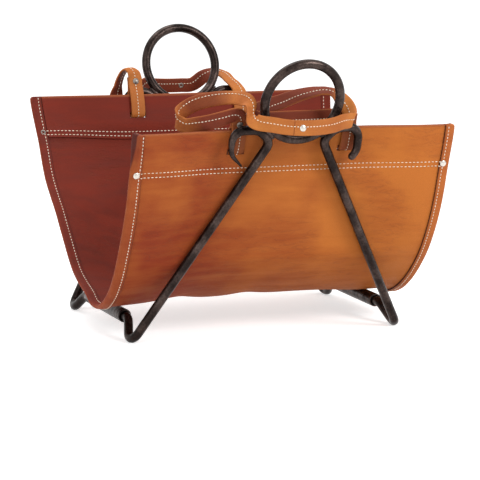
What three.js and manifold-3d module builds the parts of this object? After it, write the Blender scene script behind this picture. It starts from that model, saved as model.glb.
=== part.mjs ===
import * as THREE from 'three';
import { mergeVertices } from 'three/addons/utils/BufferGeometryUtils.js';
import Module from 'manifold-3d';

// Log carrier: a leather sling with two strap handles, set in a forged iron stand.
// Millimetres, +Z up. The front faces -Y, the floor is z = 0 and the middle is x = y = 0.
// The stand is two alike leaning frames, each a ring on two hooked legs, joined by two tubes.

const wasm = await Module();
wasm.setup();

const { degToRad, lerp, smoothstep } = THREE.MathUtils;

// Iron bar and fits
const barDiameter = 12.7;
const fitGap = 0.3;
const cutOverrun = 20;

// Rings, to the centre line of the bar, and the lean of the two frames
const ringRadius = 54.5;
const ringHeight = 337;
const frameLean = degToRad(16);

// Legs and their hooks, in the plane of the frame
const legOffset = 5.7;
const legBendRadius = 14;
const weldAngle = degToRad(45);
const weldBeadRadius = 7;
const hookCrestDrop = 39;
const pointedHookRun = 38.5;
const pointedHookDrop = 33;
const pointedHookReturn = 17;
const bluntHookRun = 34;
const bluntHookDrop = 34.6;
const bluntHookReturn = 10.4;
const hookCurl = 6;
const hookShoulderRadius = 24;
const hookRadius = 22;
const hookTipRadius = 20;
const hookTaper = 62;
const pointedTipShare = 0.22;
const bluntTipShare = 0.8;

// Feet, and the tubes that join the two frames
const footRadius = 13;
const footFlat = 0.5;
const riserPitch = degToRad(40);
const riserToe = degToRad(19);
const riserBendRadius = 18;
const tubeDiameter = 19;
const tubeHeight = 27.5;
const tubeFromSlingEnd = 43.9;
const spigotReveal = 6;
const spigotDepth = 35;

// Sling panel of thick leather
const slingLength = 470;
const mouthHalfDepth = 202;
const rimBelowRing = 40;
const rimInFromRing = 15.5;
const panelLeather = 3.2;
const panelGap = 1;
const flareFromSlot = 1.4;
const flareFromEnd = 30;
const flareLegRoom = 5;

// Facings inside the rim, and the strips bound round the open ends
const facingLeather = 2.4;
const facingDepth = 62;
const bindingLeather = 1.8;
const bindingWidth = 16;

// Handle straps and their slots
const strapWidth = 24;
const strapThickness = 4.2;
const strapEase = 0.6;
const slotAcross = 81;
const slotBelowRim = 25;
const lapGap = 0.8;
const frontLapRise = 10;
const elbowLapRise = 13;
const elbowRise = 1.6;
const rearLapRise = 19;
const rimLapDrop = 12;
const tailPastRivet = 7;
const wideBendRadius = 18;
const tightBendRadius = 15;
const wrapEase = 3;
const slackReach = 74;
const slackDepth = 45;
const slackRise = 46;

// Rivets
const rivetHeadDiameter = 9;
const rivetHeadRise = 2;
const rivetShankDiameter = 3.6;
const hemRivetBelowRim = 54;
const hemRivetFromEnd = 9;

// How finely round shapes are cut
const barSides = 12;
const ringSteps = 36;
const tubeSides = 24;
const rivetSides = 16;
const arcStep = degToRad(20);
const lowerSteps = 12;
const facingSteps = 4;
const flareSteps = 4;
const strapStepsPerSpan = 3;

const barRadius = barDiameter / 2;
const tubeRadius = tubeDiameter / 2;
const slingHalf = slingLength / 2;
const tubeAcross = slingHalf - tubeFromSlingEnd;
const ringSetback = mouthHalfDepth + rimInFromRing;
const rimHeight = ringHeight - rimBelowRing;

const iron = { color: 0x2b2623, roughness: 0.55, metalness: 0.85 };
const tanLeather = { color: 0xb0622a, roughness: 0.62, metalness: 0 };
const darkLeather = { color: 0x8f4420, roughness: 0.68, metalness: 0 };
const nickel = { color: 0xd9d4ca, roughness: 0.25, metalness: 1 };

const carrier = new THREE.Group();

function piece(name, geometry, look, parent) {
  const mesh = new THREE.Mesh(geometry, new THREE.MeshStandardMaterial(look));
  mesh.name = name;
  parent.add(mesh);
  return mesh;
}

// A closed solid from a row of sections. Each section is two lines of points with as many
// points each, a and b, and the solid lies between them. The ends are closed flat.
function loft(sections) {
  const points = sections.flatMap(({ a, b }) => [...a, ...[...b].reverse()]);
  const half = sections[0].a.length;
  const round = 2 * half;
  const faces = [];
  const quad = (p, q, r, s) => faces.push(p, q, r, p, r, s);
  for (let row = 0; row + 1 < sections.length; row++) {
    for (let i = 0; i < round; i++) {
      const here = row * round + i;
      const next = row * round + (i + 1) % round;
      quad(here, next, next + round, here + round);
    }
  }
  const last = (sections.length - 1) * round;
  for (let i = 0; i + 1 < half; i++) {
    const opposite = round - 1 - i;
    quad(i, opposite, opposite - 1, i + 1);
    quad(last + i, last + i + 1, last + opposite - 1, last + opposite);
  }
  const geometry = new THREE.BufferGeometry().setFromPoints(points);
  geometry.setIndex(faces);
  return outward(geometry);
}

// Turns the faces of a closed geometry so that they point out
function outward(geometry) {
  const position = geometry.getAttribute('position');
  const index = geometry.getIndex();
  const corner = (i) => new THREE.Vector3().fromBufferAttribute(position, index.getX(i));
  let volume = 0;
  for (let i = 0; i < index.count; i += 3) {
    volume += corner(i).dot(corner(i + 1).cross(corner(i + 2)));
  }
  if (volume < 0) {
    for (let i = 0; i < index.count; i += 3) {
      const first = index.getX(i);
      index.setX(i, index.getX(i + 1));
      index.setX(i + 1, first);
    }
  }
  return geometry;
}

function solidOf(geometry) {
  const bare = geometry.clone();
  bare.deleteAttribute('normal');
  bare.deleteAttribute('uv');
  const merged = mergeVertices(bare);
  const vertProperties = new Float32Array(merged.getAttribute('position').array);
  const triVerts = new Uint32Array(merged.getIndex().array);
  return new wasm.Manifold(new wasm.Mesh({ numProp: 3, vertProperties, triVerts }));
}

function geometryOf(solid) {
  const mesh = solid.getMesh();
  const geometry = new THREE.BufferGeometry();
  geometry.setAttribute('position', new THREE.BufferAttribute(mesh.vertProperties, 3));
  geometry.setIndex(new THREE.BufferAttribute(mesh.triVerts, 1));
  return geometry;
}

function cut(geometry, cutters) {
  const cutSolid = cutters.reduce((left, cutter) => left.subtract(solidOf(cutter)), solidOf(geometry));
  return geometryOf(cutSolid);
}

function join(geometry, others) {
  const whole = others.reduce((sum, other) => sum.add(solidOf(other)), solidOf(geometry));
  return geometryOf(whole);
}

// A line of points through corners that are rounded off, each by its own radius. A radius
// gives way where the straight beside it is too short.
function roundedPath(corners) {
  const path = [corners[0].at];
  for (let i = 1; i + 1 < corners.length; i++) {
    const here = corners[i].at;
    const before = corners[i - 1].at;
    const after = corners[i + 1].at;
    const incoming = here.clone().sub(before).normalize();
    const outgoing = after.clone().sub(here).normalize();
    const turn = incoming.angleTo(outgoing);
    const room = Math.min(here.distanceTo(before), here.distanceTo(after)) / 2;
    const tangent = Math.min(corners[i].radius * Math.tan(turn / 2), room);
    const radius = tangent / Math.tan(turn / 2);
    const toCentre = outgoing.clone().sub(incoming).normalize();
    const centre = here.clone().addScaledVector(toCentre, radius / Math.cos(turn / 2));
    const start = here.clone().addScaledVector(incoming, -tangent).sub(centre);
    const axis = incoming.clone().cross(outgoing).normalize();
    const steps = Math.max(2, Math.ceil(turn / arcStep));
    for (let step = 0; step <= steps; step++) {
      const spoke = start.clone().applyAxisAngle(axis, turn * step / steps);
      path.push(spoke.add(centre));
    }
  }
  path.push(corners[corners.length - 1].at);
  return path;
}

// A round bar along a line of points, whose radius may change from point to point
function roundBar(path, radii, firstSide) {
  let side = firstSide.clone();
  const sections = path.map((at, i) => {
    const before = path[Math.max(i - 1, 0)];
    const after = path[Math.min(i + 1, path.length - 1)];
    const heading = after.clone().sub(before).normalize();
    side.addScaledVector(heading, -side.dot(heading)).normalize();
    const other = heading.clone().cross(side);
    const rim = Array.from({ length: barSides }, (unused, k) => {
      const angle = 2 * Math.PI * k / barSides;
      return at.clone()
        .addScaledVector(side, radii[i] * Math.cos(angle))
        .addScaledVector(other, radii[i] * Math.sin(angle));
    });
    return { a: rim.slice(0, barSides / 2), b: rim.slice(barSides / 2).reverse() };
  });
  return loft(sections);
}

// A point given in the leaning plane of the front frame: across, up along the plane from the
// ring's centre, and out from the plane, away from the load
function inFrame(across, up, out) {
  const y = ringSetback + up * Math.sin(frameLean) + out * Math.cos(frameLean);
  const z = ringHeight + up * Math.cos(frameLean) - out * Math.sin(frameLean);
  return new THREE.Vector3(across, -y, z);
}

// How far up the frame's plane a height lies, at a distance out from the plane
function upAtHeight(height, out) {
  return (height - ringHeight + out * Math.sin(frameLean)) / Math.cos(frameLean);
}

// Halves a range until it closes on the value where a test turns from true to false
const searchShare = 0.000001;

function turningValue(low, high, isBelow) {
  let [from, to] = [low, high];
  while (to - from > searchShare * (high - low)) {
    const middle = (from + to) / 2;
    if (isBelow(middle)) from = middle;
    else to = middle;
  }
  return from;
}

// Corners of a right-hand leg at a splay. The leg runs up to the ring, turns along it where
// the two are welded, and goes on as the hook. Its foot is the bend between leg and riser,
// whose lowest point sinks by footFlat below the floor, where it is cut flat.
const weldDistance = ringRadius + barDiameter + fitGap;
const riserHeading = new THREE.Vector3(
  -Math.sin(riserToe) * Math.cos(riserPitch),
  Math.cos(riserToe) * Math.cos(riserPitch),
  Math.sin(riserPitch),
);

function legLine(splay) {
  const topUp = (legOffset - weldDistance * Math.cos(splay) / Math.cos(weldAngle))
    / (Math.sin(splay) + Math.cos(splay) * Math.tan(weldAngle));
  const topAcross = (weldDistance + topUp * Math.sin(weldAngle)) / Math.cos(weldAngle);
  const top = inFrame(topAcross, topUp, 0);
  const heading = inFrame(Math.sin(splay), -Math.cos(splay), 0).sub(inFrame(0, 0, 0));
  const footTurn = heading.angleTo(riserHeading);
  const footPlane = heading.clone().cross(riserHeading).normalize();
  const footInward = riserHeading.clone().sub(heading).normalize();
  const footDip = footRadius * Math.sqrt(1 - footPlane.z ** 2)
    - footInward.z * footRadius / Math.cos(footTurn / 2);
  const footHeight = barRadius - footFlat + footDip;
  const foot = top.clone().addScaledVector(heading, (footHeight - top.z) / heading.z);
  const riserTop = foot.clone()
    .addScaledVector(riserHeading, (tubeHeight - foot.z) / riserHeading.z);
  return { top, foot, riserTop };
}

// The legs splay until their risers meet the tubes, which lie near the sling's ends
const widestSplay = degToRad(60);
const legSplay = turningValue(0, widestSplay, (splay) => legLine(splay).riserTop.x < tubeAcross);
const leg = legLine(legSplay);
const shoulderAcross = (weldDistance - hookCrestDrop * Math.sin(weldAngle)) / Math.cos(weldAngle);
const hookCrestHeight = inFrame(0, -hookCrestDrop, 0).z + barRadius;
const riserTurn = Math.acos(riserHeading.y);
const tubeEnd = -leg.riserTop.y - riserBendRadius * Math.tan(riserTurn / 2) - spigotReveal;

// How far across a leg's centre line lies at a height
function legAcross(height) {
  return lerp(leg.foot.x, leg.top.x, (height - leg.foot.z) / (leg.top.z - leg.foot.z));
}

// One hook of a frame is drawn out to a point, and the other one is shorter and blunt
const pointedHook = {
  run: pointedHookRun,
  drop: pointedHookDrop,
  turnIn: pointedHookReturn,
  tipShare: pointedTipShare,
};
const bluntHook = {
  run: bluntHookRun,
  drop: bluntHookDrop,
  turnIn: bluntHookReturn,
  tipShare: bluntTipShare,
};

function legCorners({ run, drop, turnIn }) {
  const hookAcross = shoulderAcross + run;
  const hookUp = -hookCrestDrop - drop;
  return [
    { at: inFrame(hookAcross - turnIn, hookUp - turnIn, hookCurl) },
    { at: inFrame(hookAcross, hookUp, hookCurl / 2), radius: hookTipRadius },
    { at: inFrame(hookAcross, -hookCrestDrop, 0), radius: hookRadius },
    { at: inFrame(shoulderAcross, -hookCrestDrop, 0), radius: hookShoulderRadius },
    { at: leg.top, radius: legBendRadius },
    { at: leg.foot, radius: footRadius },
    { at: leg.riserTop, radius: riserBendRadius },
    { at: new THREE.Vector3(tubeAcross, spigotDepth - tubeEnd, tubeHeight) },
  ];
}

// Radii of a bar that is drawn down towards its first point
function drawnRadii(path, tipShare) {
  let run = 0;
  return path.map((at, i) => {
    if (i > 0) run += at.distanceTo(path[i - 1]);
    return barRadius * lerp(tipShare, 1, Math.min(1, run / hookTaper));
  });
}

function ringGeometry(radius) {
  const ring = new THREE.TorusGeometry(ringRadius, radius, barSides, ringSteps);
  ring.rotateX(Math.PI / 2);
  return ring;
}

// A leg of the front frame, with its bead of weld. Hand is 1 on the right and -1 on the left.
function legGeometry(hand, hook) {
  const mirror = new THREE.Vector3(hand, 1, 1);
  const path = roundedPath(legCorners(hook)).map((at) => at.multiply(mirror));
  const bar = roundBar(path, drawnRadii(path, hook.tipShare), new THREE.Vector3(0, 1, 0));
  const bead = new THREE.SphereGeometry(weldBeadRadius, barSides, barSides / 2);
  const beadOut = weldDistance - barRadius;
  const beadAt = inFrame(hand * beadOut * Math.cos(weldAngle), -beadOut * Math.sin(weldAngle), 0);
  bead.translate(beadAt.x, beadAt.y, beadAt.z);
  const ringRoom = ringGeometry(barRadius + fitGap);
  const ringAt = inFrame(0, 0, 0);
  ringRoom.rotateX(frameLean);
  ringRoom.translate(ringAt.x, ringAt.y, ringAt.z);
  const floor = new THREE.BoxGeometry(slingLength, 2 * ringSetback, cutOverrun);
  floor.translate(0, -ringSetback, -cutOverrun / 2);
  return cut(join(bar, [bead]), [ringRoom, floor]);
}

// The rear frame is the front one turned half round, so its left leg is the front's right one
const frames = [
  { turn: 0, ring: 'front_ring', legs: ['front_left_leg', 'front_right_leg'] },
  { turn: Math.PI, ring: 'rear_ring', legs: ['rear_right_leg', 'rear_left_leg'] },
];
for (const { turn, ring, legs } of frames) {
  const frame = new THREE.Group();
  frame.rotation.z = turn;
  carrier.add(frame);
  const ringMesh = piece(ring, ringGeometry(barRadius), iron, frame);
  ringMesh.position.copy(inFrame(0, 0, 0));
  ringMesh.rotation.x = frameLean;
  piece(legs[0], legGeometry(-1, pointedHook), iron, frame);
  piece(legs[1], legGeometry(1, bluntHook), iron, frame);
}

// Cross tubes, open at both ends, with the legs' ends in them
const boreRadius = barRadius + fitGap;
const tubeOutline = [
  new THREE.Vector2(boreRadius, -tubeEnd),
  new THREE.Vector2(tubeRadius, -tubeEnd),
  new THREE.Vector2(tubeRadius, tubeEnd),
  new THREE.Vector2(boreRadius, tubeEnd),
  new THREE.Vector2(boreRadius, -tubeEnd),
];
for (const [name, hand] of [['left_cross_tube', -1], ['right_cross_tube', 1]]) {
  const tube = piece(name, new THREE.LatheGeometry(tubeOutline, tubeSides), iron, carrier);
  tube.position.set(hand * tubeAcross, 0, tubeHeight);
}

// Leather layers at the rim, and how far they lie from the frame's plane
const strapRoom = strapThickness + 2 * strapEase;
const panelFace = barRadius + panelGap + strapRoom;
const rimLeather = panelLeather + fitGap + facingLeather;
const rimMiddle = panelFace + rimLeather / 2;
const slotHeight = rimHeight - slotBelowRim;
const slingBottom = tubeHeight + tubeRadius + fitGap;

// How far out a plane beside the frame's plane lies at a height
function leanOut(height, beside) {
  const rise = height - ringHeight;
  return ringSetback + rise * Math.tan(frameLean) + beside / Math.cos(frameLean);
}

// Half of the sling's outline at its open ends, from the middle of the bottom to the rim, as
// shares of the half depth and of the height
const outlineShares = [
  [0, 0], [0.13, 0.001], [0.25, 0.012], [0.4, 0.062], [0.555, 0.149], [0.683, 0.253],
  [0.777, 0.365], [0.861, 0.503], [0.926, 0.657], [0.968, 0.823], [1, 1],
];
const endOutline = new THREE.SplineCurve(outlineShares.map(([out, rise]) => new THREE.Vector2(
  out * mouthHalfDepth,
  lerp(slingBottom, rimHeight, rise),
)));

// Between the legs the panel keeps behind the frame: close to the bars below, and with room
// for the straps near the rim
function frameRoom(height) {
  const strapStart = slotHeight - 2 * strapWidth;
  const strapEnd = slotHeight - strapWidth / 2;
  return barRadius + panelGap + strapRoom * smoothstep(height, strapStart, strapEnd);
}

// A point of the sling's outer face: how far out and how high, at a place across and a share
// of the way from bottom to rim. Past the slots and the legs it flares out to the open ends.
const flareStart = slotAcross + strapWidth / 2 + strapEase + flareFromSlot;
const flareEnd = slingHalf - flareFromEnd;

function slingFace(across, share) {
  const end = endOutline.getPoint(share);
  const behindFrame = Math.min(end.x, leanOut(end.y, -frameRoom(end.y)));
  const pastLeg = Math.max(flareStart, legAcross(end.y) + flareLegRoom);
  const flare = smoothstep(Math.abs(across), pastLeg, flareEnd);
  return new THREE.Vector2(lerp(behindFrame, end.x, flare), end.y);
}

// The same point in space, moved in by a depth of leather. Side is -1 in front, 1 behind.
const outlineStep = 0.001;

function slingPoint(across, share, depth, side) {
  const face = slingFace(across, share);
  const ahead = slingFace(across, Math.min(share + outlineStep, 1));
  const behind = slingFace(across, Math.max(share - outlineStep, 0));
  const along = ahead.sub(behind).normalize();
  const out = face.x - along.y * depth;
  return new THREE.Vector3(across, side * out, face.y + along.x * depth);
}

function shareAtHeight(height) {
  return turningValue(0, 1, (share) => endOutline.getPoint(share).y < height);
}

function spread(from, to, steps) {
  return Array.from({ length: steps + 1 }, (unused, i) => lerp(from, to, i / steps));
}

const facingShare = shareAtHeight(rimHeight - facingDepth);
const facingShares = spread(facingShare, 1, facingSteps);
const halfShares = [...spread(0, facingShare, lowerSteps).slice(0, -1), ...facingShares];

function wholeLine(across, depth) {
  const front = halfShares.slice(1).reverse().map((share) => slingPoint(across, share, depth, -1));
  const rear = halfShares.map((share) => slingPoint(across, share, depth, 1));
  return [...front, ...rear];
}

const panelHalf = slingHalf - bindingLeather - fitGap;
const bindingInside = slingHalf - bindingWidth;
const flareAcross = spread(flareStart, flareEnd, flareSteps);
const rightAcross = [...flareAcross, bindingInside - fitGap];
const innerAcross = [...rightAcross.map((across) => -across).reverse(), ...rightAcross];

// Strap ends. Each goes round the rim as a loop: down one face of the panel, through the slot
// and up the other face, and laps on itself above the rim, where a rivet holds it. Way points
// run from the tail to the strap, and each has the direction of the strap's width.
const level = new THREE.Vector3(1, 0, 0);
const upright = new THREE.Vector3(0, 0, 1);
const legSpread = rimLeather / 2 + strapEase + strapThickness / 2;
const lapSpread = (strapThickness + lapGap) / 2;
const lapHalf = rivetHeadDiameter / 2 + fitGap;
const halfTurnShares = [0, 0.25, 0.5, 0.75, 1];

function onSide(point, side) {
  return point.multiply(new THREE.Vector3(1, -side, 1));
}

// Hand and side place the loop. Main is 1 where the strap leaves outside the panel, -1 inside.
// Spread is how far tail and strap lie from the lap's middle. The rear right loop has its
// rivet below the rim, through the panel and the facing too.
const loops = {
  frontLeft: { hand: -1, side: -1, main: 1, lapRise: frontLapRise, spread: lapSpread },
  frontRight: { hand: 1, side: -1, main: -1, lapRise: elbowLapRise, spread: lapSpread },
  rearLeft: { hand: -1, side: 1, main: -1, lapRise: rearLapRise, spread: lapSpread },
  rearRight: { hand: 1, side: 1, main: -1, lapRise: -rimLapDrop, spread: legSpread },
};

function loopPoint({ hand, side }, up, out) {
  return { at: onSide(inFrame(hand * slotAcross, up, out - rimMiddle), side), width: level };
}

// A point of the lap: how far past the rivet, and 1 on the strap, 0 midway or -1 on the tail
function lapPoint(loop, past, apart) {
  const up = upAtHeight(rimHeight + loop.lapRise, -rimMiddle) + past;
  return loopPoint(loop, up, loop.main * apart * loop.spread);
}

function rimPoint(loop, apart) {
  const up = upAtHeight(rimHeight + strapEase, -rimMiddle);
  return loopPoint(loop, up, loop.main * apart * legSpread);
}

// The tail and the turn under the slot's top
function loopTail(loop) {
  const bottom = upAtHeight(slotHeight, -rimMiddle);
  const round = halfTurnShares.map((share) => loopPoint(
    loop,
    bottom - legSpread * Math.sin(Math.PI * share),
    -loop.main * legSpread * Math.cos(Math.PI * share),
  ));
  const overRim = loop.lapRise > 0 ? [lapPoint(loop, -lapHalf, -1), rimPoint(loop, -1)] : [];
  return [lapPoint(loop, tailPastRivet, -1), ...overRim, ...round];
}

// A bend in the strap's own plane, beside the frame's plane. Rows hold the turn, in shares of
// a half turn, and how far the strap still spreads from its lap: 1 is at the panel's face.
function elbow(loop, { across, height, radius }, rows) {
  const up = upAtHeight(height, -rimMiddle);
  return rows.map(([turn, apart]) => {
    const right = Math.cos(Math.PI * turn);
    const rise = Math.sin(Math.PI * turn);
    const out = loop.main * lerp(lapSpread, legSpread, apart) - rimMiddle;
    const width = inFrame(right, rise, 0).sub(inFrame(0, 0, 0));
    const at = inFrame(across + radius * right, up + radius * rise, out);
    return { at: onSide(at, loop.side), width: onSide(width, loop.side) };
  });
}

function wayPoint(across, out, height, side, width = upright) {
  return { at: new THREE.Vector3(across, side * out, height), width };
}

// The grip lies over the hooks and bows round the outside of the ring, clear of it from its
// lowest point to its top, so that it passes the ring when the sling is lifted
const wrapAcross = ringRadius + barRadius + wrapEase + strapThickness / 2;
const wrapOut = ringRadius * Math.sin(frameLean) + barRadius + wrapEase + strapThickness / 2;
const frontGripLiftShare = 0.51;
const rearGripLiftShare = 0.38;
const gripSagShare = 0.52;
const gripRivetShare = 0.447;

function gripPoint(share, side) {
  const angle = Math.PI * share;
  const highest = side < 0 ? frontGripLiftShare : rearGripLiftShare;
  const lift = highest - gripSagShare * Math.sin(angle);
  return wayPoint(
    -wrapAcross * Math.cos(angle),
    ringSetback + wrapOut * Math.sin(angle),
    hookCrestHeight + lift * strapWidth,
    side,
  );
}

// Way points given in strap widths: away from the slot, out from the ring's setback and up
// from the rim
function strapRow([away, out, rise], hand, side, width) {
  return wayPoint(
    hand * (slotAcross + away * strapWidth),
    ringSetback + out * strapWidth,
    rimHeight + rise * strapWidth,
    side,
    width,
  );
}

// Front strap. From the left slot its slack lies over the rim to the left and comes back, in
// shares of the slack's reach, depth and rise.
const leftElbowRows = [[0.06, 0], [0.2, 0], [0.34, 0], [0.48, 0], [0.6, 0]];
const rightElbowRows = [[0.5, 0], [0.38, 0], [0.26, 0], [0.14, 0], [0, 1]];
const slackInShare = 0.73;
const slackRows = [
  { shares: [0.52, 0.2, 0.37], width: upright },
  { shares: [0.73, 0.42, 0.27], width: upright },
  { shares: [0.91, 0.69, 0.19], width: upright },
  { shares: [1, 0.88, 0.2], width: upright },
  { shares: [0.93, 1.05, 0.3], width: upright },
  { shares: [0.7, 1, 0.54], width: new THREE.Vector3(0.2, 0.3, 0.93) },
  { shares: [0.42, 0.755, 0.76], width: new THREE.Vector3(0.3, 0.5, 0.8) },
  { shares: [0.15, 0.44, 0.88], width: new THREE.Vector3(0.35, 0.55, 0.76) },
  { shares: [-0.01, 0.2, 0.91], width: new THREE.Vector3(0.4, 0.5, 0.77) },
  { shares: [-0.07, -0.07, 0.9], width: new THREE.Vector3(0.4, 0.4, 0.8) },
  { shares: [-0.085, -0.26, 0.78], width: new THREE.Vector3(0.6, 0.3, 0.6) },
  { shares: [-0.105, -0.4, 0.56], width: new THREE.Vector3(0.7, 0, 0.7) },
];

function slackPoint([reach, depth, rise], width) {
  return wayPoint(
    -slotAcross - reach * slackReach,
    ringSetback - slackInShare * strapWidth - depth * slackDepth,
    rimHeight + rise * slackRise,
    -1,
    width,
  );
}

// Past the grip it turns back behind the ring, runs to the left, and returns below itself to
// the right slot: shares of the ring's radius across, and of the strap's width in and up
const frontGripShares = [0.1, 0.22, 0.34, gripRivetShare, 0.56, 0.68, 0.8, 0.91];
const rightTurnRows = [
  { shares: [0.36, -0.06, -0.62], width: new THREE.Vector3(0.35, 0, 0.94) },
  { shares: [0.3, -0.48, -0.38], width: new THREE.Vector3(0.7, -0.25, 0.67) },
  { shares: [0.1, -0.85, 0.04], width: new THREE.Vector3(0.4, 0, 0.9) },
  { shares: [-0.12, -1.15, 0.19], width: new THREE.Vector3(0.25, 0.1, 0.96) },
];
const behindShares = [
  [1, -0.32, 0.22, 0.2], [0.77, -0.55, 0.17, 0.6], [0.24, -0.64, -0.02, 0.7],
  [-0.33, -0.52, -0.18, 0.6], [-0.62, -0.45, -0.34, 0.4], [-0.87, -0.44, -0.54, 0.2],
  [-1.05, -0.36, -0.7, 0.05], [-1.12, -0.2, -0.85, 0], [-1.03, -0.06, -0.98, 0],
  [-0.85, -0.06, -1.04, 0], [0, -0.1, -1.05, 0], [0.73, -0.16, -1.05, 0],
];

function frontRoute() {
  const { frontLeft, frontRight } = loops;
  const behindOut = leanOut(rimHeight, legSpread - rimMiddle);
  const leftElbow = {
    across: -slotAcross - wideBendRadius,
    height: rimHeight + frontLapRise - lapHalf,
    radius: wideBendRadius,
  };
  const rightElbow = {
    across: slotAcross - tightBendRadius,
    height: rimHeight + elbowRise,
    radius: tightBendRadius,
  };
  return [
    ...loopTail(frontLeft),
    rimPoint(frontLeft, 1),
    lapPoint(frontLeft, -lapHalf, 1),
    ...elbow(frontLeft, leftElbow, leftElbowRows),
    ...slackRows.map(({ shares, width }) => slackPoint(shares, width)),
    ...frontGripShares.map((share) => gripPoint(share, -1)),
    ...rightTurnRows.map(({ shares: [across, out, rise], width }) => wayPoint(
      wrapAcross + across * strapWidth,
      ringSetback + out * strapWidth,
      ringHeight + rise * strapWidth,
      -1,
      width,
    )),
    ...behindShares.map(([across, out, rise, tilt]) => wayPoint(
      across * ringRadius,
      behindOut + out * strapWidth,
      ringHeight + rise * strapWidth,
      -1,
      new THREE.Vector3(0, tilt, 1),
    )),
    ...elbow(frontRight, rightElbow, rightElbowRows),
    ...loopTail(frontRight).reverse(),
  ];
}

// Rear strap. It rises inside the panel, arches over the rim at the left, dips outside, lies
// over the hooks as the grip, and arches back over the rim at the right.
const rearGripShares = [0.24, 0.34, 0.45, 1 - gripRivetShare, 0.64];
const leftArchRows = [
  { shares: [0.08, -0.85, 1.36], width: new THREE.Vector3(0.97, 0.24, 0) },
  { shares: [0.25, -0.58, 1.53], width: new THREE.Vector3(0.87, 0.5, 0) },
  { shares: [0.44, -0.36, 1.42], width: new THREE.Vector3(0.75, 0.66, 0) },
  { shares: [0.62, -0.2, 1.05], width: new THREE.Vector3(0.75, 0.66, 0) },
  { shares: [0.78, -0.12, 0.46], width: new THREE.Vector3(0.8, 0.6, 0) },
  { shares: [0.83, 0, -0.17], width: level },
  { shares: [0.74, 0, -0.5], width: new THREE.Vector3(0.87, 0, 0.5) },
  { shares: [0.5, 0.02, -0.75], width: new THREE.Vector3(0.5, 0, 0.87) },
  { shares: [0.17, 0.04, -0.83], width: upright },
  { shares: [-0.17, 0.1, -0.7], width: upright },
  { shares: [-0.5, 0.22, -0.3], width: upright },
  { shares: [-0.8, 0.42, 0.08], width: upright },
  { shares: [-1.05, 0.6, 0.22], width: upright },
];
const rightArchRows = [
  { shares: [-1.44, 0.97, 0.76], width: new THREE.Vector3(0.2, 0.35, 0.8) },
  { shares: [-0.92, 0.86, 0.98], width: new THREE.Vector3(0.5, 0.55, 0.6) },
  { shares: [-0.42, 0.5, 0.98], width: new THREE.Vector3(0.85, 0.5, 0.2) },
  { shares: [-0.33, -0.1, 0.83], width: new THREE.Vector3(0.9, 0.4, 0.1) },
  { shares: [-0.25, -0.42, 0.67], width: new THREE.Vector3(0.92, 0.4, 0.1) },
  { shares: [-0.15, -0.73, 0.53], width: new THREE.Vector3(0.95, 0.3, 0.1) },
  { shares: [-0.05, -1.12, 0.32], width: new THREE.Vector3(0.98, 0.15, 0) },
];

function rearRoute() {
  const { rearLeft, rearRight } = loops;
  return [
    ...loopTail(rearLeft),
    rimPoint(rearLeft, 1),
    lapPoint(rearLeft, -lapHalf, 1),
    lapPoint(rearLeft, lapHalf, 1),
    ...leftArchRows.map(({ shares, width }) => strapRow(shares, -1, 1, width)),
    ...rearGripShares.map((share) => gripPoint(share, 1)),
    ...rightArchRows.map(({ shares, width }) => strapRow(shares, 1, 1, width)),
    rimPoint(rearRight, 1),
    lapPoint(rearRight, lapHalf, 1),
    lapPoint(rearRight, -lapHalf, 1),
    ...loopTail(rearRight).reverse(),
  ];
}

// A flat strap along its way points
function strapGeometry(route) {
  const curve = new THREE.CatmullRomCurve3(route.map(({ at }) => at), false, 'centripetal');
  const spans = route.length - 1;
  const steps = spans * strapStepsPerSpan;
  const sections = Array.from({ length: steps + 1 }, (unused, i) => {
    const share = i / steps;
    const span = Math.min(Math.floor(share * spans), spans - 1);
    const heading = curve.getTangent(share);
    const width = route[span].width.clone().lerp(route[span + 1].width, share * spans - span);
    width.addScaledVector(heading, -width.dot(heading)).setLength(strapWidth / 2);
    const face = heading.clone().cross(width).setLength(strapThickness / 2);
    const middle = curve.getPoint(share);
    const corner = (across, out) => middle.clone()
      .addScaledVector(width, across)
      .addScaledVector(face, out);
    return { a: [corner(1, 1), corner(-1, 1)], b: [corner(1, -1), corner(-1, -1)] };
  });
  return loft(sections);
}

// Rivets. Each has its place, at the middle of the leather it holds, the axis that its domed
// head looks along, and the thickness of that leather.
const rivetShankRadius = rivetShankDiameter / 2;
const rivetHeadRadius = rivetHeadDiameter / 2;
const domeShare = 0.8;
const domeRiseShare = 0.6;
const clinchShare = 0.9;

function handleRivet(loop) {
  const tail = lapPoint(loop, 0, -1).at;
  const strap = lapPoint(loop, 0, 1).at;
  return {
    at: lapPoint(loop, 0, 0).at,
    axis: strap.clone().sub(tail).normalize(),
    leather: strap.distanceTo(tail) + strapThickness,
  };
}

function gripRivet(share, side) {
  const { at } = gripPoint(share, side);
  const before = gripPoint(share - outlineStep, side).at;
  const along = at.clone().sub(before);
  const axis = along.cross(upright).normalize().multiplyScalar(-side);
  return { at, axis, leather: strapThickness };
}

function hemRivet(hand, side) {
  const across = hand * (slingHalf - hemRivetFromEnd);
  const share = shareAtHeight(rimHeight - hemRivetBelowRim);
  const outer = slingPoint(across, share, -bindingLeather - fitGap, side);
  const inner = slingPoint(across, share, panelLeather + bindingLeather + fitGap, side);
  return {
    at: outer.clone().add(inner).multiplyScalar(1 / 2),
    axis: outer.clone().sub(inner).normalize(),
    leather: outer.distanceTo(inner),
  };
}

// Turns a shape made along +Y to a rivet's axis and moves it to the rivet's place
function placed(geometry, { at, axis }) {
  const turn = new THREE.Quaternion().setFromUnitVectors(new THREE.Vector3(0, 1, 0), axis);
  geometry.applyQuaternion(turn);
  geometry.translate(at.x, at.y, at.z);
  return geometry;
}

function rivetHole(rivet) {
  const radius = rivetShankRadius + fitGap;
  const length = rivet.leather + 2 * rivetHeadRise;
  return placed(new THREE.CylinderGeometry(radius, radius, length, rivetSides), rivet);
}

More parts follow.
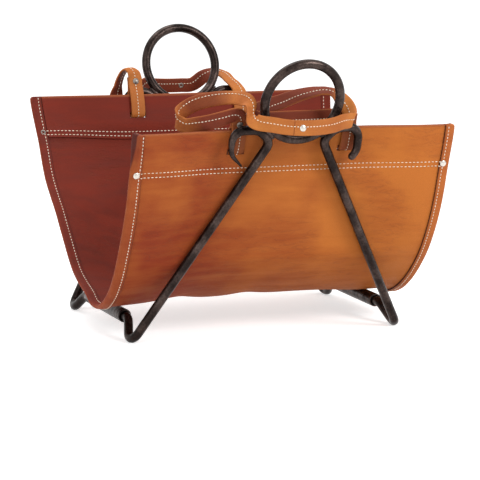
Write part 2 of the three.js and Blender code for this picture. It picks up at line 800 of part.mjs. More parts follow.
function rivetGeometry(rivet) {
  const grip = rivet.leather / 2 + fitGap;
  const outline = [
    new THREE.Vector2(0, -grip - rivetHeadRise / 2),
    new THREE.Vector2(clinchShare * rivetHeadRadius, -grip - rivetHeadRise / 2),
    new THREE.Vector2(clinchShare * rivetHeadRadius, -grip),
    new THREE.Vector2(rivetShankRadius, -grip),
    new THREE.Vector2(rivetShankRadius, grip),
    new THREE.Vector2(rivetHeadRadius, grip),
    new THREE.Vector2(domeShare * rivetHeadRadius, grip + domeRiseShare * rivetHeadRise),
    new THREE.Vector2(0, grip + rivetHeadRise),
  ];
  return placed(new THREE.LatheGeometry(outline, rivetSides), rivet);
}

const rivets = {
  front_left_handle_rivet: handleRivet(loops.frontLeft),
  front_right_handle_rivet: handleRivet(loops.frontRight),
  rear_left_handle_rivet: handleRivet(loops.rearLeft),
  rear_right_handle_rivet: handleRivet(loops.rearRight),
  front_grip_rivet: gripRivet(gripRivetShare, -1),
  rear_grip_rivet: gripRivet(1 - gripRivetShare, 1),
  front_left_hem_rivet: hemRivet(-1, -1),
  front_right_hem_rivet: hemRivet(1, -1),
  rear_left_hem_rivet: hemRivet(-1, 1),
  rear_right_hem_rivet: hemRivet(1, 1),
};
for (const [name, rivet] of Object.entries(rivets)) {
  piece(name, rivetGeometry(rivet), nickel, carrier);
}

// Slots through the panel and the facing, tall enough for the strap to turn under the rim
function slotCutter(hand, side) {
  const tall = legSpread + strapThickness / 2 + strapEase;
  const cutter = new THREE.BoxGeometry(strapWidth + 2 * strapEase, cutOverrun, tall);
  cutter.rotateX(-side * frameLean);
  const up = upAtHeight(slotHeight, -rimMiddle) - tall / 2;
  const middle = onSide(inFrame(hand * slotAcross, up, -rimMiddle), side);
  cutter.translate(middle.x, middle.y, middle.z);
  return cutter;
}

const slots = Object.values(loops).map(({ hand, side }) => slotCutter(hand, side));
const hemHoles = Object.entries(rivets)
  .filter(([name]) => name.includes('hem'))
  .map(([name, rivet]) => rivetHole(rivet));
const rimHole = rivetHole(rivets.rear_right_handle_rivet);

// Panel: one piece of leather from rim to rim
const panelAcross = [-panelHalf, -bindingInside, ...innerAcross.slice(1, -1), bindingInside, panelHalf];
const panel = loft(panelAcross.map((across) => ({
  a: wholeLine(across, 0),
  b: wholeLine(across, panelLeather),
})));
piece('sling_panel', cut(panel, [...slots, ...hemHoles, rimHole]), tanLeather, carrier);

// Facings: a strip of leather sewn inside each rim
for (const [name, side] of [['front_rim_facing', -1], ['rear_rim_facing', 1]]) {
  const outside = panelLeather + fitGap;
  const shares = side < 0 ? facingShares : [...facingShares].reverse();
  const line = (across, depth) => shares.map((share) => slingPoint(across, share, depth, side));
  const facing = loft(innerAcross.map((across) => ({
    a: line(across, outside),
    b: line(across, outside + facingLeather),
  })));
  piece(name, cut(facing, [...slots, rimHole]), darkLeather, carrier);
}

// Bindings: a strip folded round each open end, from the front rim to the rear rim
for (const [name, hand] of [['left_edge_binding', -1], ['right_edge_binding', 1]]) {
  const edge = (across, depth) => wholeLine(hand * across, depth);
  const fold = slingHalf - bindingLeather;
  const outerFace = -fitGap;
  const innerFace = panelLeather + fitGap;
  const outside = [
    edge(bindingInside, outerFace - bindingLeather),
    edge(slingHalf, outerFace - bindingLeather),
    edge(slingHalf, innerFace + bindingLeather),
    edge(bindingInside, innerFace + bindingLeather),
  ];
  const inside = [
    edge(bindingInside, outerFace),
    edge(fold, outerFace),
    edge(fold, innerFace),
    edge(bindingInside, innerFace),
  ];
  const strip = loft(outside[0].map((unused, i) => ({
    a: outside.map((line) => line[i]),
    b: inside.map((line) => line[i]),
  })));
  piece(name, cut(strip, hemHoles), tanLeather, carrier);
}

// Handle straps, with holes for their rivets
const {
  front_left_handle_rivet: frontLeftRivet,
  front_right_handle_rivet: frontRightRivet,
  rear_left_handle_rivet: rearLeftRivet,
  rear_right_handle_rivet: rearRightRivet,
} = rivets;
const frontHoles = [frontLeftRivet, frontRightRivet, rivets.front_grip_rivet].map(rivetHole);
const rearHoles = [rearLeftRivet, rearRightRivet, rivets.rear_grip_rivet].map(rivetHole);
piece('front_handle_strap', cut(strapGeometry(frontRoute()), frontHoles), tanLeather, carrier);
piece('rear_handle_strap', cut(strapGeometry(rearRoute()), rearHoles), tanLeather, carrier);

export default carrier;
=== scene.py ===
import bpy
import numpy as np
from mathutils import Matrix


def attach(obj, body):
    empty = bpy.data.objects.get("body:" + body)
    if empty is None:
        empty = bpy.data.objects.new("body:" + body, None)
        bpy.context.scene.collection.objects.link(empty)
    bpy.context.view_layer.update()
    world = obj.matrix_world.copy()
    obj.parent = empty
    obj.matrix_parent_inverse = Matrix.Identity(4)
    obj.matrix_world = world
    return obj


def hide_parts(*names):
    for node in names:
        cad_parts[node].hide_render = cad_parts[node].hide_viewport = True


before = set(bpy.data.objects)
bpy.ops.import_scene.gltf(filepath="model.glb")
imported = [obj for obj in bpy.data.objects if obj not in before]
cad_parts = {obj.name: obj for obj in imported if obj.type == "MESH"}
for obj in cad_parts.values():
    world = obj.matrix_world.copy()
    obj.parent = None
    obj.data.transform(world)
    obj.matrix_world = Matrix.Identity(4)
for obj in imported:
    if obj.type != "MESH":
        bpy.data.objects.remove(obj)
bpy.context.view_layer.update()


# Camera
# It stands at the left of the front and a little above the rim, far off with a long lens, as
# the studio picture was taken.
PICTURE_PIXELS = 480
FOCAL_PIXELS = 2671.5
SENSOR_WIDTH = 36.0
CAMERA_PLACE = (-1.4725, -3.4264, 0.7897)
CAMERA_RIGHT = np.array([0.9194, -0.3925, 0.0245])
CAMERA_BACK = np.array([-0.3903, -0.9031, 0.1788])


def unit(vectors):
    """Each vector divided by its own length."""
    return vectors / np.linalg.norm(vectors, axis=-1, keepdims=True)


camera_back = unit(CAMERA_BACK)
camera_right = unit(CAMERA_RIGHT - camera_back * (CAMERA_RIGHT @ camera_back))
camera_up = np.cross(camera_back, camera_right)
camera_data = bpy.data.cameras.new("camera")
camera_data.sensor_width = SENSOR_WIDTH
camera_data.lens = FOCAL_PIXELS * SENSOR_WIDTH / PICTURE_PIXELS
camera = bpy.data.objects.new("camera", camera_data)
bpy.context.scene.collection.objects.link(camera)
turned = Matrix(np.column_stack([camera_right, camera_up, camera_back]).tolist()).to_4x4()
camera.matrix_world = Matrix.Translation(CAMERA_PLACE) @ turned
bpy.context.scene.camera = camera


# Rings
# Two rings of round iron bar, bent and welded shut, are the stand's handles. They are black
# from the forge, with a waxed gloss, and each leans outwards with its frame.
METRES = 0.001
BAR_RADIUS = 6.35
FRAME_LEAN = np.radians(16)
RING_RADIUS = 54.5
RING_HEIGHT = 337.0
RING_SETBACK = 217.5
RING_ROWS = 144
BAR_SIDES = 28
SWELL_SHARE = 0.011
RING_SWELLS = 3
SMOOTH_ANGLE = np.radians(38)


def in_frame(across, up, out):
    """A point of the leaning front frame: up times the lean's cosine less out times its sine
    is the height, and the two change places for the distance to the front."""
    y = RING_SETBACK + up * np.sin(FRAME_LEAN) + out * np.cos(FRAME_LEAN)
    z = RING_HEIGHT + up * np.cos(FRAME_LEAN) - out * np.sin(FRAME_LEAN)
    return np.stack(np.broadcast_arrays(across, -y, z), axis=-1).astype(float)


def grid_faces(rows, columns, close_rows=False, close_columns=False):
    """Quads of a grid: each joins point (i, j) to its neighbours at j + 1 and i + 1. A closed
    direction joins its last points to its first."""
    i = np.arange(rows if close_rows else rows - 1)[:, None]
    j = np.arange(columns if close_columns else columns - 1)[None, :]
    ahead, beside = (i + 1) % rows, (j + 1) % columns
    corners = [i * columns + j, i * columns + beside, ahead * columns + beside, ahead * columns + j]
    return np.stack(np.broadcast_arrays(*corners), axis=-1).reshape(-1, 4)


def signed_volume(points, faces):
    """A sixth of the sum of a . (b x c) over each face's two triangles."""
    a, b, c, d = (points[faces[:, k]] for k in range(4))
    return (np.einsum("ij,ij->", a, np.cross(b, c)) + np.einsum("ij,ij->", a, np.cross(c, d))) / 6


def make_piece(name, points, faces, marks=None, sharp=SMOOTH_ANGLE):
    """A mesh object from points in millimetres and quads, turned so that its faces look out.
    Marks are named values of the points that a material reads."""
    if signed_volume(points, faces) < 0:
        faces = faces[:, ::-1]
    used, renumbered = np.unique(faces, return_inverse=True)
    faces = renumbered.reshape(faces.shape)
    mesh = bpy.data.meshes.new(name)
    mesh.from_pydata((points[used] * METRES).tolist(), [], faces.tolist())
    for mark, values in (marks or {}).items():
        attribute = mesh.attributes.new(mark, "FLOAT", "POINT")
        attribute.data.foreach_set("value", values.ravel()[used].astype(np.float32))
    mesh.shade_smooth()
    mesh.set_sharp_from_angle(angle=sharp)
    piece = bpy.data.objects.new(name, mesh)
    bpy.context.scene.collection.objects.link(piece)
    return piece


RIDERS = {"stand": [], "sling": []}


def settle(piece, body, slot, material, *nodes):
    """Gives a piece its material, sets it on its body and hides the CAD nodes that
    it stands for. The slot is not used."""
    piece.data.materials.append(material)
    RIDERS[body].append(piece)
    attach(piece, body)
    if nodes:
        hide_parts(*nodes)


def bar_grid(path, radii, sides, first_side, closed=False):
    """Rows of points round a path: path + radius (cos a side + sin a other), where side and
    other are square to the path and turn as little as they can from row to row."""
    ahead = np.roll(path, -1, axis=0) - np.roll(path, 1, axis=0)
    if not closed:
        ahead[0] = path[1] - path[0]
        ahead[-1] = path[-1] - path[-2]
    heading = unit(ahead)
    sideways = np.empty_like(path)
    side = np.array(first_side, float)
    for row, direction in enumerate(heading):
        side = unit(side - direction * (side @ direction))
        sideways[row] = side
    other = np.cross(heading, sideways)
    angle = np.linspace(0, 2 * np.pi, sides, endpoint=False)[None, :, None]
    spokes = np.cos(angle) * sideways[:, None] + np.sin(angle) * other[:, None]
    return path[:, None] + radii[:, None, None] * spokes


def add_node(tree, kind, inputs=None, **settings):
    """A shader node with its settings. Inputs are values, or the sockets that feed them."""
    made = tree.nodes.new(kind)
    for key, value in settings.items():
        setattr(made, key, value)
    for key, value in (inputs or {}).items():
        if isinstance(value, bpy.types.NodeSocket):
            tree.links.new(value, made.inputs[key])
        else:
            made.inputs[key].default_value = value
    return made


def noise(tree, position, scale, detail=3.0, roughness=0.55, distortion=0.0):
    """Smooth noise from 0 to 1 at a scale in cells per metre."""
    values = {"Vector": position, "Scale": scale, "Detail": detail, "Roughness": roughness,
              "Distortion": distortion}
    return add_node(tree, "ShaderNodeTexNoise", values).outputs[0]


def ramp(tree, value, low, high, to_low=0.0, to_high=1.0):
    """A value carried smoothly from the range low to high to another range."""
    numbers = {0: value, 1: low, 2: high, 3: to_low, 4: to_high}
    made = add_node(tree, "ShaderNodeMapRange", numbers, interpolation_type="SMOOTHSTEP")
    return made.outputs[0]


def calculate(tree, operation, first, second, clamp=False):
    """One sum on two values."""
    made = add_node(tree, "ShaderNodeMath", {0: first, 1: second}, operation=operation)
    made.use_clamp = clamp
    return made.outputs[0]


def mix_colours(tree, share, first, second, blend="MIX"):
    """The first colour with a share of the second mixed in."""
    values = {0: share, 6: first, 7: second}
    made = add_node(tree, "ShaderNodeMix", values, data_type="RGBA", blend_type=blend)
    return made.outputs[2]


def new_group(name, inputs, outputs):
    """An empty shader group with named sockets, and its way in and out."""
    tree = bpy.data.node_groups.new(name, "ShaderNodeTree")
    for label, kind, value in inputs:
        socket = tree.interface.new_socket(label, in_out="INPUT", socket_type=kind)
        if value is not None:
            socket.default_value = value
    for label, kind in outputs:
        tree.interface.new_socket(label, in_out="OUTPUT", socket_type=kind)
    return tree, tree.nodes.new("NodeGroupInput").outputs, tree.nodes.new("NodeGroupOutput").inputs


def new_material(name):
    """A material with its Principled shader, and the tree that holds them."""
    material = bpy.data.materials.new(name)
    material.use_nodes = True
    return material, material.node_tree, material.node_tree.nodes["Principled BSDF"]


def skinned_material(name, skin, relief, values, marks=()):
    """A material whose shader takes its colour, roughness and relief from a skin group that
    lies on the object's own coordinates. Each mark pairs one of the piece's named values with
    the group's input that it feeds."""
    material, tree, shader = new_material(name)
    inputs = {"Position": add_node(tree, "ShaderNodeTexCoord").outputs["Object"], **values}
    for mark, label in marks:
        inputs[label] = add_node(tree, "ShaderNodeAttribute", attribute_name=mark).outputs["Fac"]
    surface = add_node(tree, "ShaderNodeGroup", inputs, node_tree=skin).outputs
    tree.links.new(surface["Color"], shader.inputs["Base Color"])
    if "Roughness" in surface:
        tree.links.new(surface["Roughness"], shader.inputs["Roughness"])
    raised = add_node(
        tree, "ShaderNodeBump", {"Height": surface["Height"], "Distance": relief * METRES}
    )
    tree.links.new(raised.outputs["Normal"], shader.inputs["Normal"])
    return material, shader


# The skin that the forge leaves: waxed black scale, browner where it is rubbed thin, with
# shallow hammer marks and a fine tooth.
COLOUR, VALUE, VECTOR = "NodeSocketColor", "NodeSocketFloat", "NodeSocketVector"
forge_skin, skin_in, skin_out = new_group(
    "forge_skin",
    [("Position", VECTOR, None), ("Scale colour", COLOUR, (0.02, 0.018, 0.018, 1)),
     ("Rubbed colour", COLOUR, (0.1, 0.08, 0.07, 1)), ("Rubbed share", VALUE, 0.5)],
    [("Color", COLOUR), ("Roughness", VALUE), ("Height", VALUE)],
)
skin_patches = noise(forge_skin, skin_in["Position"], 34.0, detail=4.0)
skin_specks = noise(forge_skin, skin_in["Position"], 420.0, detail=2.0)
hammer_marks = noise(forge_skin, skin_in["Position"], 95.0, detail=1.0)
rubbed = ramp(forge_skin, skin_patches, 0.38, 0.66)
rubbed = calculate(forge_skin, "MULTIPLY", rubbed, skin_in["Rubbed share"])
speckled = ramp(forge_skin, skin_specks, 0.35, 0.75, 0.65, 1.2)
skin_colour = mix_colours(forge_skin, rubbed, skin_in["Scale colour"], skin_in["Rubbed colour"])
skin_colour = mix_colours(forge_skin, 1.0, skin_colour, speckled, "MULTIPLY")
skin_tooth = calculate(forge_skin, "MULTIPLY", skin_specks, 0.16)
skin_height = calculate(forge_skin, "ADD", hammer_marks, skin_tooth)
forge_skin.links.new(skin_colour, skin_out["Color"])
forge_skin.links.new(ramp(forge_skin, skin_specks, 0.3, 0.8, 0.27, 0.38), skin_out["Roughness"])
forge_skin.links.new(skin_height, skin_out["Height"])

IRON_RELIEF = 0.7
iron, iron_shader = skinned_material("black_iron", forge_skin, IRON_RELIEF, {
    "Scale colour": (0.019, 0.0125, 0.0108, 1),
    "Rubbed colour": (0.085, 0.059, 0.051, 1),
    "Rubbed share": 0.8,
})
iron_shader.inputs["Metallic"].default_value = 0.8
iron_shader.inputs["Specular IOR Level"].default_value = 0.25

HALF_ROUND = np.array([-1.0, -1.0, 1.0])
ring_turn = np.linspace(0, 2 * np.pi, RING_ROWS, endpoint=False)
ring_path = in_frame(RING_RADIUS * np.cos(ring_turn), RING_RADIUS * np.sin(ring_turn), 0.0)
ring_normal = in_frame(0.0, 0.0, 1.0) - in_frame(0.0, 0.0, 0.0)
for ring_name, ring_side in (("front_ring", np.ones(3)), ("rear_ring", HALF_ROUND)):
    ring_wave = np.sin(RING_SWELLS * ring_turn + ring_side[0])
    ring_radii = BAR_RADIUS * (1 + SWELL_SHARE * ring_wave / 2)
    ring_grid = bar_grid(ring_path, ring_radii, BAR_SIDES, ring_normal, closed=True) * ring_side
    ring_faces = grid_faces(RING_ROWS, BAR_SIDES, close_rows=True, close_columns=True)
    ring = make_piece("dressed_" + ring_name, ring_grid.reshape(-1, 3), ring_faces)
    settle(ring, "stand", "iron", iron, ring_name)


# Legs
# Each leg is one bar. It hooks over under the strap, turns down beside the ring, where it is
# welded on, and runs out to a foot, whose end rises inwards into a cross tube.
LEG_TOP = np.array([38.24, -201.73, 282.0])
LEG_FOOT = np.array([203.62, -119.5, -4.76])
RISER_TOP = [191.1, -83.15, 27.5]
LEG_END = [191.1, -34.96, 27.5]
CREST_DROP = 39.0
SHOULDER_ACROSS = 56.39
HOOK_CURL = 6.0
# A hook's run past the shoulder, its drop, how far its tip turns in, and the tip's share of
# the bar's radius.
POINTED_HOOK = (38.5, 33.0, 17.0, 0.2)
BLUNT_HOOK = (34.0, 34.6, 10.4, 0.8)
LEG_BENDS = [20.0, 22.0, 24.0, 14.0, 13.0, 18.0]
BEND_STEPS = 24
LEG_ROW = 3.0
HOOK_TAPER = 62.0
TAPER_POWER = 0.9
TIP_TURNS = np.linspace(0.03, np.pi / 2, 9)
TIP_TO_ROWS = 1.5
TIP_LEAST_SHARE = 0.002
SWELL_LENGTH = 18.0
LONG_SWELLS, SHORT_SWELLS, SHORT_SWELL_SHARE = 5, 13, 0.6
WELD_ANGLE = np.radians(45)
WELD_OUT = RING_RADIUS + BAR_RADIUS + 0.15
WELD_SIZE = np.array([12.5, 5.4, 4.4])
LONG_LUMPS, LONG_LUMP_SHARE = 9, 0.05
ROUND_LUMPS, ROUND_LUMP_SHARE, LUMP_TWIST = 3, 0.04, 5
WELD_ROWS = 24
WELD_SIDES = 20


def bend_path(corners, bends):
    """A line through corners that are rounded off: each corner gives way to the arc of its
    own bend radius that touches both of its straights."""
    stretches = [corners[:1]]
    for before, here, after, bend in zip(corners, corners[1:], corners[2:], bends):
        incoming, outgoing = unit(here - before), unit(after - here)
        turn = np.arccos(np.clip(incoming @ outgoing, -1, 1))
        room = min(np.linalg.norm(here - before), np.linalg.norm(after - here)) / 2
        tangent = min(bend * np.tan(turn / 2), room)
        radius = tangent / np.tan(turn / 2)
        centre = here + unit(outgoing - incoming) * radius / np.cos(turn / 2)
        start = here - incoming * tangent - centre
        swing = np.linspace(0, turn, BEND_STEPS)[:, None]
        stretches.append(centre + start * np.cos(swing) + incoming * radius * np.sin(swing))
    stretches.append(corners[-1:])
    return np.vstack(stretches)


def along_path(path, runs, vectors=None):
    """Points of a line at given distances along it, read off between its own points, or the
    vectors that go with its points, read off in the same way."""
    steps = np.linalg.norm(np.diff(path, axis=0), axis=1)
    run = np.concatenate([[0], np.cumsum(steps)])
    columns = (path if vectors is None else vectors).T
    return np.stack([np.interp(runs, run, column) for column in columns], axis=-1)


def path_length(path):
    """The sum of the distances between a line's points."""
    return np.linalg.norm(np.diff(path, axis=0), axis=1).sum()


def leg_corners(run, drop, turn_in):
    """Corners of a leg from its hook's tip: across the crest to the shoulder, down beside the
    ring, out to the foot and up into the tube. Run, drop and turn in shape the hook."""
    across, down = SHOULDER_ACROSS + run, -CREST_DROP - drop
    tip = in_frame(across - turn_in, down - turn_in, HOOK_CURL)
    bend = in_frame(across, down, HOOK_CURL / 2)
    crest = in_frame(across, -CREST_DROP, 0.0)
    shoulder = in_frame(SHOULDER_ACROSS, -CREST_DROP, 0.0)
    return np.array([tip, bend, crest, shoulder, LEG_TOP, LEG_FOOT, RISER_TOP, LEG_END])


def swell(turns, first):
    """Small uneven swelling of a hammered bar: one plus two waves along it."""
    waves = np.sin(turns * LONG_SWELLS + first)
    waves = waves + SHORT_SWELL_SHARE * np.sin(turns * SHORT_SWELLS + 2 * first)
    return 1 + SWELL_SHARE * waves / 2


def leg_radii(runs, tip_share):
    """Radius of a leg: it grows from the drawn tip to the full bar with a power of the way,
    and the tip itself is half a ball, whose radius is the root of r squared less the distance
    squared."""
    full_share = np.clip(runs / HOOK_TAPER, 0, 1) ** TAPER_POWER
    radii = BAR_RADIUS * (tip_share + (1 - tip_share) * full_share)
    tip = BAR_RADIUS * tip_share
    rounded = np.sqrt(np.clip(1 - ((tip - runs) / tip) ** 2, TIP_LEAST_SHARE, 1))
    return radii * np.where(runs < tip, rounded, 1) * swell(runs / SWELL_LENGTH, tip_share)


def weld_bead(hand):
    """The lumpy bead that fills the groove between ring and leg: a ball drawn out to the
    weld's three sizes, times one plus two small waves, and turned to the weld's angle."""
    lift = np.linspace(0, np.pi, WELD_ROWS)[:, None]
    turn = np.linspace(0, 2 * np.pi, WELD_SIDES, endpoint=False)[None, :]
    lumps = 1 + LONG_LUMP_SHARE * np.cos(LONG_LUMPS * lift)
    lumps = lumps + ROUND_LUMP_SHARE * np.sin(ROUND_LUMPS * turn + LUMP_TWIST * lift)
    along = WELD_SIZE[0] * np.cos(lift) * lumps
    beside = WELD_SIZE[1] * np.sin(lift) * np.cos(turn) * lumps
    outward = WELD_SIZE[2] * np.sin(lift) * np.sin(turn) * lumps
    cosine, sine = np.cos(WELD_ANGLE), np.sin(WELD_ANGLE)
    across = WELD_OUT * cosine + outward * cosine + along * sine
    up = -WELD_OUT * sine - outward * sine + along * cosine
    return in_frame(hand * across, up, beside)


def capped_faces(rows, columns):
    """Quads of a grid closed round its columns, with both ends filled by quads that join
    points across the end."""
    half = columns // 2
    first = np.arange(half - 1)
    low = np.stack([first, columns - 1 - first, columns - 2 - first, first + 1], axis=-1)
    high = low[:, ::-1] + (rows - 1) * columns
    return np.vstack([grid_faces(rows, columns, close_columns=True), low, high])


for leg_name, hand, hook, leg_side in (
    ("front_left_leg", -1, POINTED_HOOK, np.ones(3)),
    ("front_right_leg", 1, BLUNT_HOOK, np.ones(3)),
    ("rear_right_leg", -1, POINTED_HOOK, HALF_ROUND),
    ("rear_left_leg", 1, BLUNT_HOOK, HALF_ROUND),
):
    *hook_shape, tip_share = hook
    leg_line = bend_path(leg_corners(*hook_shape), LEG_BENDS)
    tip_rows = BAR_RADIUS * tip_share * (1 - np.cos(TIP_TURNS))
    body_rows = np.arange(tip_rows[-1] + TIP_TO_ROWS, path_length(leg_line), LEG_ROW)
    leg_runs = np.concatenate([tip_rows, body_rows])
    leg_path = along_path(leg_line, leg_runs) * np.array([hand, 1, 1])
    leg_grid = bar_grid(leg_path, leg_radii(leg_runs, tip_share), BAR_SIDES, (0, 1, 0))
    leg_points = leg_grid.reshape(-1, 3) * leg_side
    leg_points[:, 2] = np.maximum(leg_points[:, 2], 0)
    leg_faces = capped_faces(len(leg_runs), BAR_SIDES)
    leg_piece = make_piece("dressed_" + leg_name, leg_points, leg_faces)
    settle(leg_piece, "stand", "iron", iron, leg_name)
    weld_points = weld_bead(hand).reshape(-1, 3) * leg_side
    weld_faces = capped_faces(WELD_ROWS, WELD_SIDES)
    weld = make_piece(leg_name.replace("leg", "weld"), weld_points, weld_faces)
    settle(weld, "stand", "iron", iron)


# Cross tubes
# Two lengths of iron tube join the frames under the sling. The legs' inward ends are pushed
# into them, and the sling's bottom rests on them.
TUBE_RADIUS = 9.5
BORE_RADIUS = 6.65
TUBE_LIP = 1.1
TUBE_ACROSS = 191.1
TUBE_HEIGHT = 27.5
TUBE_HALF = 69.96
TUBE_SIDES = 48
TUBE_ROW_SHARES = (0.6, 0.2, -0.2, -0.6)
LIP_STEPS = 6


def lathe_grid(outline, sides):
    """Each outline point (radius, height) turned round: x and y are the radius times the
    cosine and the sine of the angle, z is the height."""
    angle = np.linspace(0, 2 * np.pi, sides, endpoint=False)[None, :]
    radius, height = outline[:, :1], outline[:, 1:]
    round_points = [radius * np.cos(angle), radius * np.sin(angle), height + 0 * angle]
    return np.stack(round_points, axis=-1)


lip = np.linspace(0, np.pi / 2, LIP_STEPS)
lip_shape = np.stack([np.sin(lip), np.cos(lip)], axis=-1) * TUBE_LIP
outer_lip = lip_shape + [TUBE_RADIUS - TUBE_LIP, TUBE_HALF - TUBE_LIP]
inner_lip = lip_shape[::-1] * [-1, 1] + [BORE_RADIUS + TUBE_LIP, TUBE_HALF - TUBE_LIP]
tube_end = np.vstack([inner_lip, outer_lip])
tube_middle = [[TUBE_RADIUS, share * TUBE_HALF] for share in TUBE_ROW_SHARES]
tube_outline = np.vstack([tube_end, tube_middle, tube_end[::-1] * [1, -1]])
for tube_name, hand in (("left_cross_tube", -1), ("right_cross_tube", 1)):
    grid = lathe_grid(tube_outline, TUBE_SIDES)
    lying = np.stack([grid[..., 0], grid[..., 2], grid[..., 1]], axis=-1)
    tube_points = lying.reshape(-1, 3) + [hand * TUBE_ACROSS, 0, TUBE_HEIGHT]
    tube_faces = grid_faces(len(tube_outline), TUBE_SIDES, close_rows=True, close_columns=True)
    tube = make_piece("dressed_" + tube_name, tube_points, tube_faces)
    settle(tube, "stand", "iron", iron, tube_name)


# Sling panel
# One hide of thick saddle leather hangs from rim to rim as an open trough. Its outside is
# smooth oiled tan, its inside the darker red brown flesh, and between the legs it lies flat
# behind the frame while its open ends flare out.
SLING_HALF = 235.0
PANEL_HALF = 232.9
BINDING_INSIDE = 219.0
MOUTH_HALF = 202.0
RIM_HEIGHT = 297.0
SLING_BOTTOM = 37.3
PANEL_LEATHER = 3.2
FIT_GAP = 0.3
PANEL_GAP = 1.0
STRAP_WIDTH = 24.0
STRAP_THICKNESS = 4.2
STRAP_EASE = 0.6
SLOT_ACROSS = 81.0
SLOT_TOP = 272.0
SLOT_BOTTOM = 264.0
FLARE_START = 95.0
FLARE_END = 205.0
LEG_ROOM = 5.0
PANEL_ROWS = 171
PANEL_COLUMNS = 125
NEIGHBOUR_SHARE = 0.45
# Half of the outline at an open end, from the bottom to the rim: shares of the mouth's half
# width and of the sling's height.
OUTLINE_SHARES = np.array([
    [0, 0], [0.13, 0.001], [0.25, 0.012], [0.4, 0.062], [0.555, 0.149], [0.683, 0.253],
    [0.777, 0.365], [0.861, 0.503], [0.926, 0.657], [0.968, 0.823], [1, 1],
])
OUTLINE_POINTS = 4001
OUTLINE_STEP = 0.001
RIM_ROUND = 1.3
RIM_ROW_SHARES = np.array([1.0, 0.6, 0.3, 0.1, 0.02])
RIM_EDGE = (2.5, 0.4)
CORNER_RADIUS = 5.0
# How the leather has set with use. Shares go along the outline, from 0 at the bottom to 1 at
# the rim, and each bell of the bottom's arch has its rise, its middle and its width.
PAST_END = 1.0
END_CURL, CURL_REACH, CURL_LEAST, CURL_SHARES = 3.5, 13.0, 0.3, (0.8, 0.97)
ROLLED_CURL, ROLLED_REACH, ROLLED_IN, ROLLED_SHARES = 9.0, 14.0, 4.5, (0.84, 0.97)
TUBES_START, TUBES_END = 120.0, 176.0
ARCH_RISE = 2.0
ARCH_BELLS = ((3.5, -106.0, 26.0), (3.0, -3.0, 24.0))
ARCH_SHARES = (0.14, 0.42)
LOW_START_SHARES, LOW_END_SHARES = (0.0, 0.2), (0.35, 0.5)
WAVE_RISE, DENT_RISE = 0.4, 0.7
LONG_WAVE, SHORT_WAVE, DENT_WAVE = 31.0, 17.0, 43.0
LONG_WAVE_SHARE, SHORT_WAVE_SHARE = 0.5, 0.22
SIDE_SHIFT, SHORT_SHIFT, DENT_SHIFT = 1.3, 2.0, 9.0
SPLAY = 2.75
SPLAY_HEIGHTS, SPLAY_ACROSS = (215.0, 298.0), (185.0, 235.0)
DROOP, DROOP_TO_RIGHT = 2.5, 2.0
DROOP_ACROSS, DROOP_SHARES = (204.0, 234.0), (0.25, 0.5)
SLUMP_START, SLUMP_END = 70.0, 240.0
# The left end has slumped towards the front. By outline point: the shift back and up.
REAR_SLUMP = np.array([
    [-7.9, 22], [-12.6, 30.9], [-18.6, 39.7], [-27.1, 46.4], [-33.7, 47.9], [-35.8, 44.1],
    [-33, 33], [-26, 20], [-19, 11], [-9, 3.5], [3, 0],
])
FRONT_SLUMP = np.array([
    [-7.9, 22], [-4.2, 14], [-2, 1], [-6, -8], [-7, -8], [-4, -4.5],
    [-1, -1], [0, 0], [0, 0], [0, 0], [0, 0],
])


def smooth_step(value, low, high):
    """Zero below low, one above high, and 3 t squared less 2 t cubed between them."""
    t = np.clip((value - low) / (high - low), 0, 1)
    return t * t * (3 - 2 * t)


def through_table(table, share):
    """A cubic through the rows of a table, from the first at share 0 to the last at share 1,
    whose slope at each row is half the step from the one before to the one after."""
    place = np.clip(share, 0, 1) * (len(table) - 1)
    span = np.minimum(place.astype(int), len(table) - 2)
    t = (place - span)[..., None]
    before, here = table[np.maximum(span - 1, 0)], table[span]
    after, beyond = table[span + 1], table[np.minimum(span + 2, len(table) - 1)]
    slope, next_slope = (after - before) / 2, (beyond - here) / 2
    curve = (2 * t**3 - 3 * t**2 + 1) * here + (t**3 - 2 * t**2 + t) * slope
    return curve + (3 * t**2 - 2 * t**3) * after + (t**3 - t**2) * next_slope


def end_outline(share):
    """Half of the sling's outline at its open ends, as distance out and height."""
    curve = through_table(OUTLINE_SHARES, share)
    return curve[..., 0] * MOUTH_HALF, SLING_BOTTOM + curve[..., 1] * (RIM_HEIGHT - SLING_BOTTOM)


def sling_face(across, share):
    """The sling's outer face as distance out and height: the outline, held behind the leaning
    frame between the legs, and let go smoothly towards the ends."""
    across, share = np.broadcast_arrays(across, share)
    out, height = end_outline(share)
    strap_room = STRAP_THICKNESS + 2 * STRAP_EASE
    room_share = smooth_step(height, SLOT_TOP - 2 * STRAP_WIDTH, SLOT_TOP - STRAP_WIDTH / 2)
    room = BAR_RADIUS + PANEL_GAP + strap_room * room_share
    plane = RING_SETBACK + (height - RING_HEIGHT) * np.tan(FRAME_LEAN) - room / np.cos(FRAME_LEAN)
    leg_share = (height - LEG_FOOT[2]) / (LEG_TOP[2] - LEG_FOOT[2])
    leg_across = LEG_FOOT[0] + (LEG_TOP[0] - LEG_FOOT[0]) * leg_share
    flare = smooth_step(np.abs(across), np.maximum(FLARE_START, leg_across + LEG_ROOM), FLARE_END)
    held = np.minimum(out, plane)
    return held + (out - held) * flare, height


def rolled_corner(across, share, side):
    """How far a point lies into the front left corner, which is rolled inwards."""
    to_left = smooth_step(-across, SLING_HALF - ROLLED_REACH, SLING_HALF + PAST_END)
    return to_left * smooth_step(share, *ROLLED_SHARES) * (1 - side) / 2


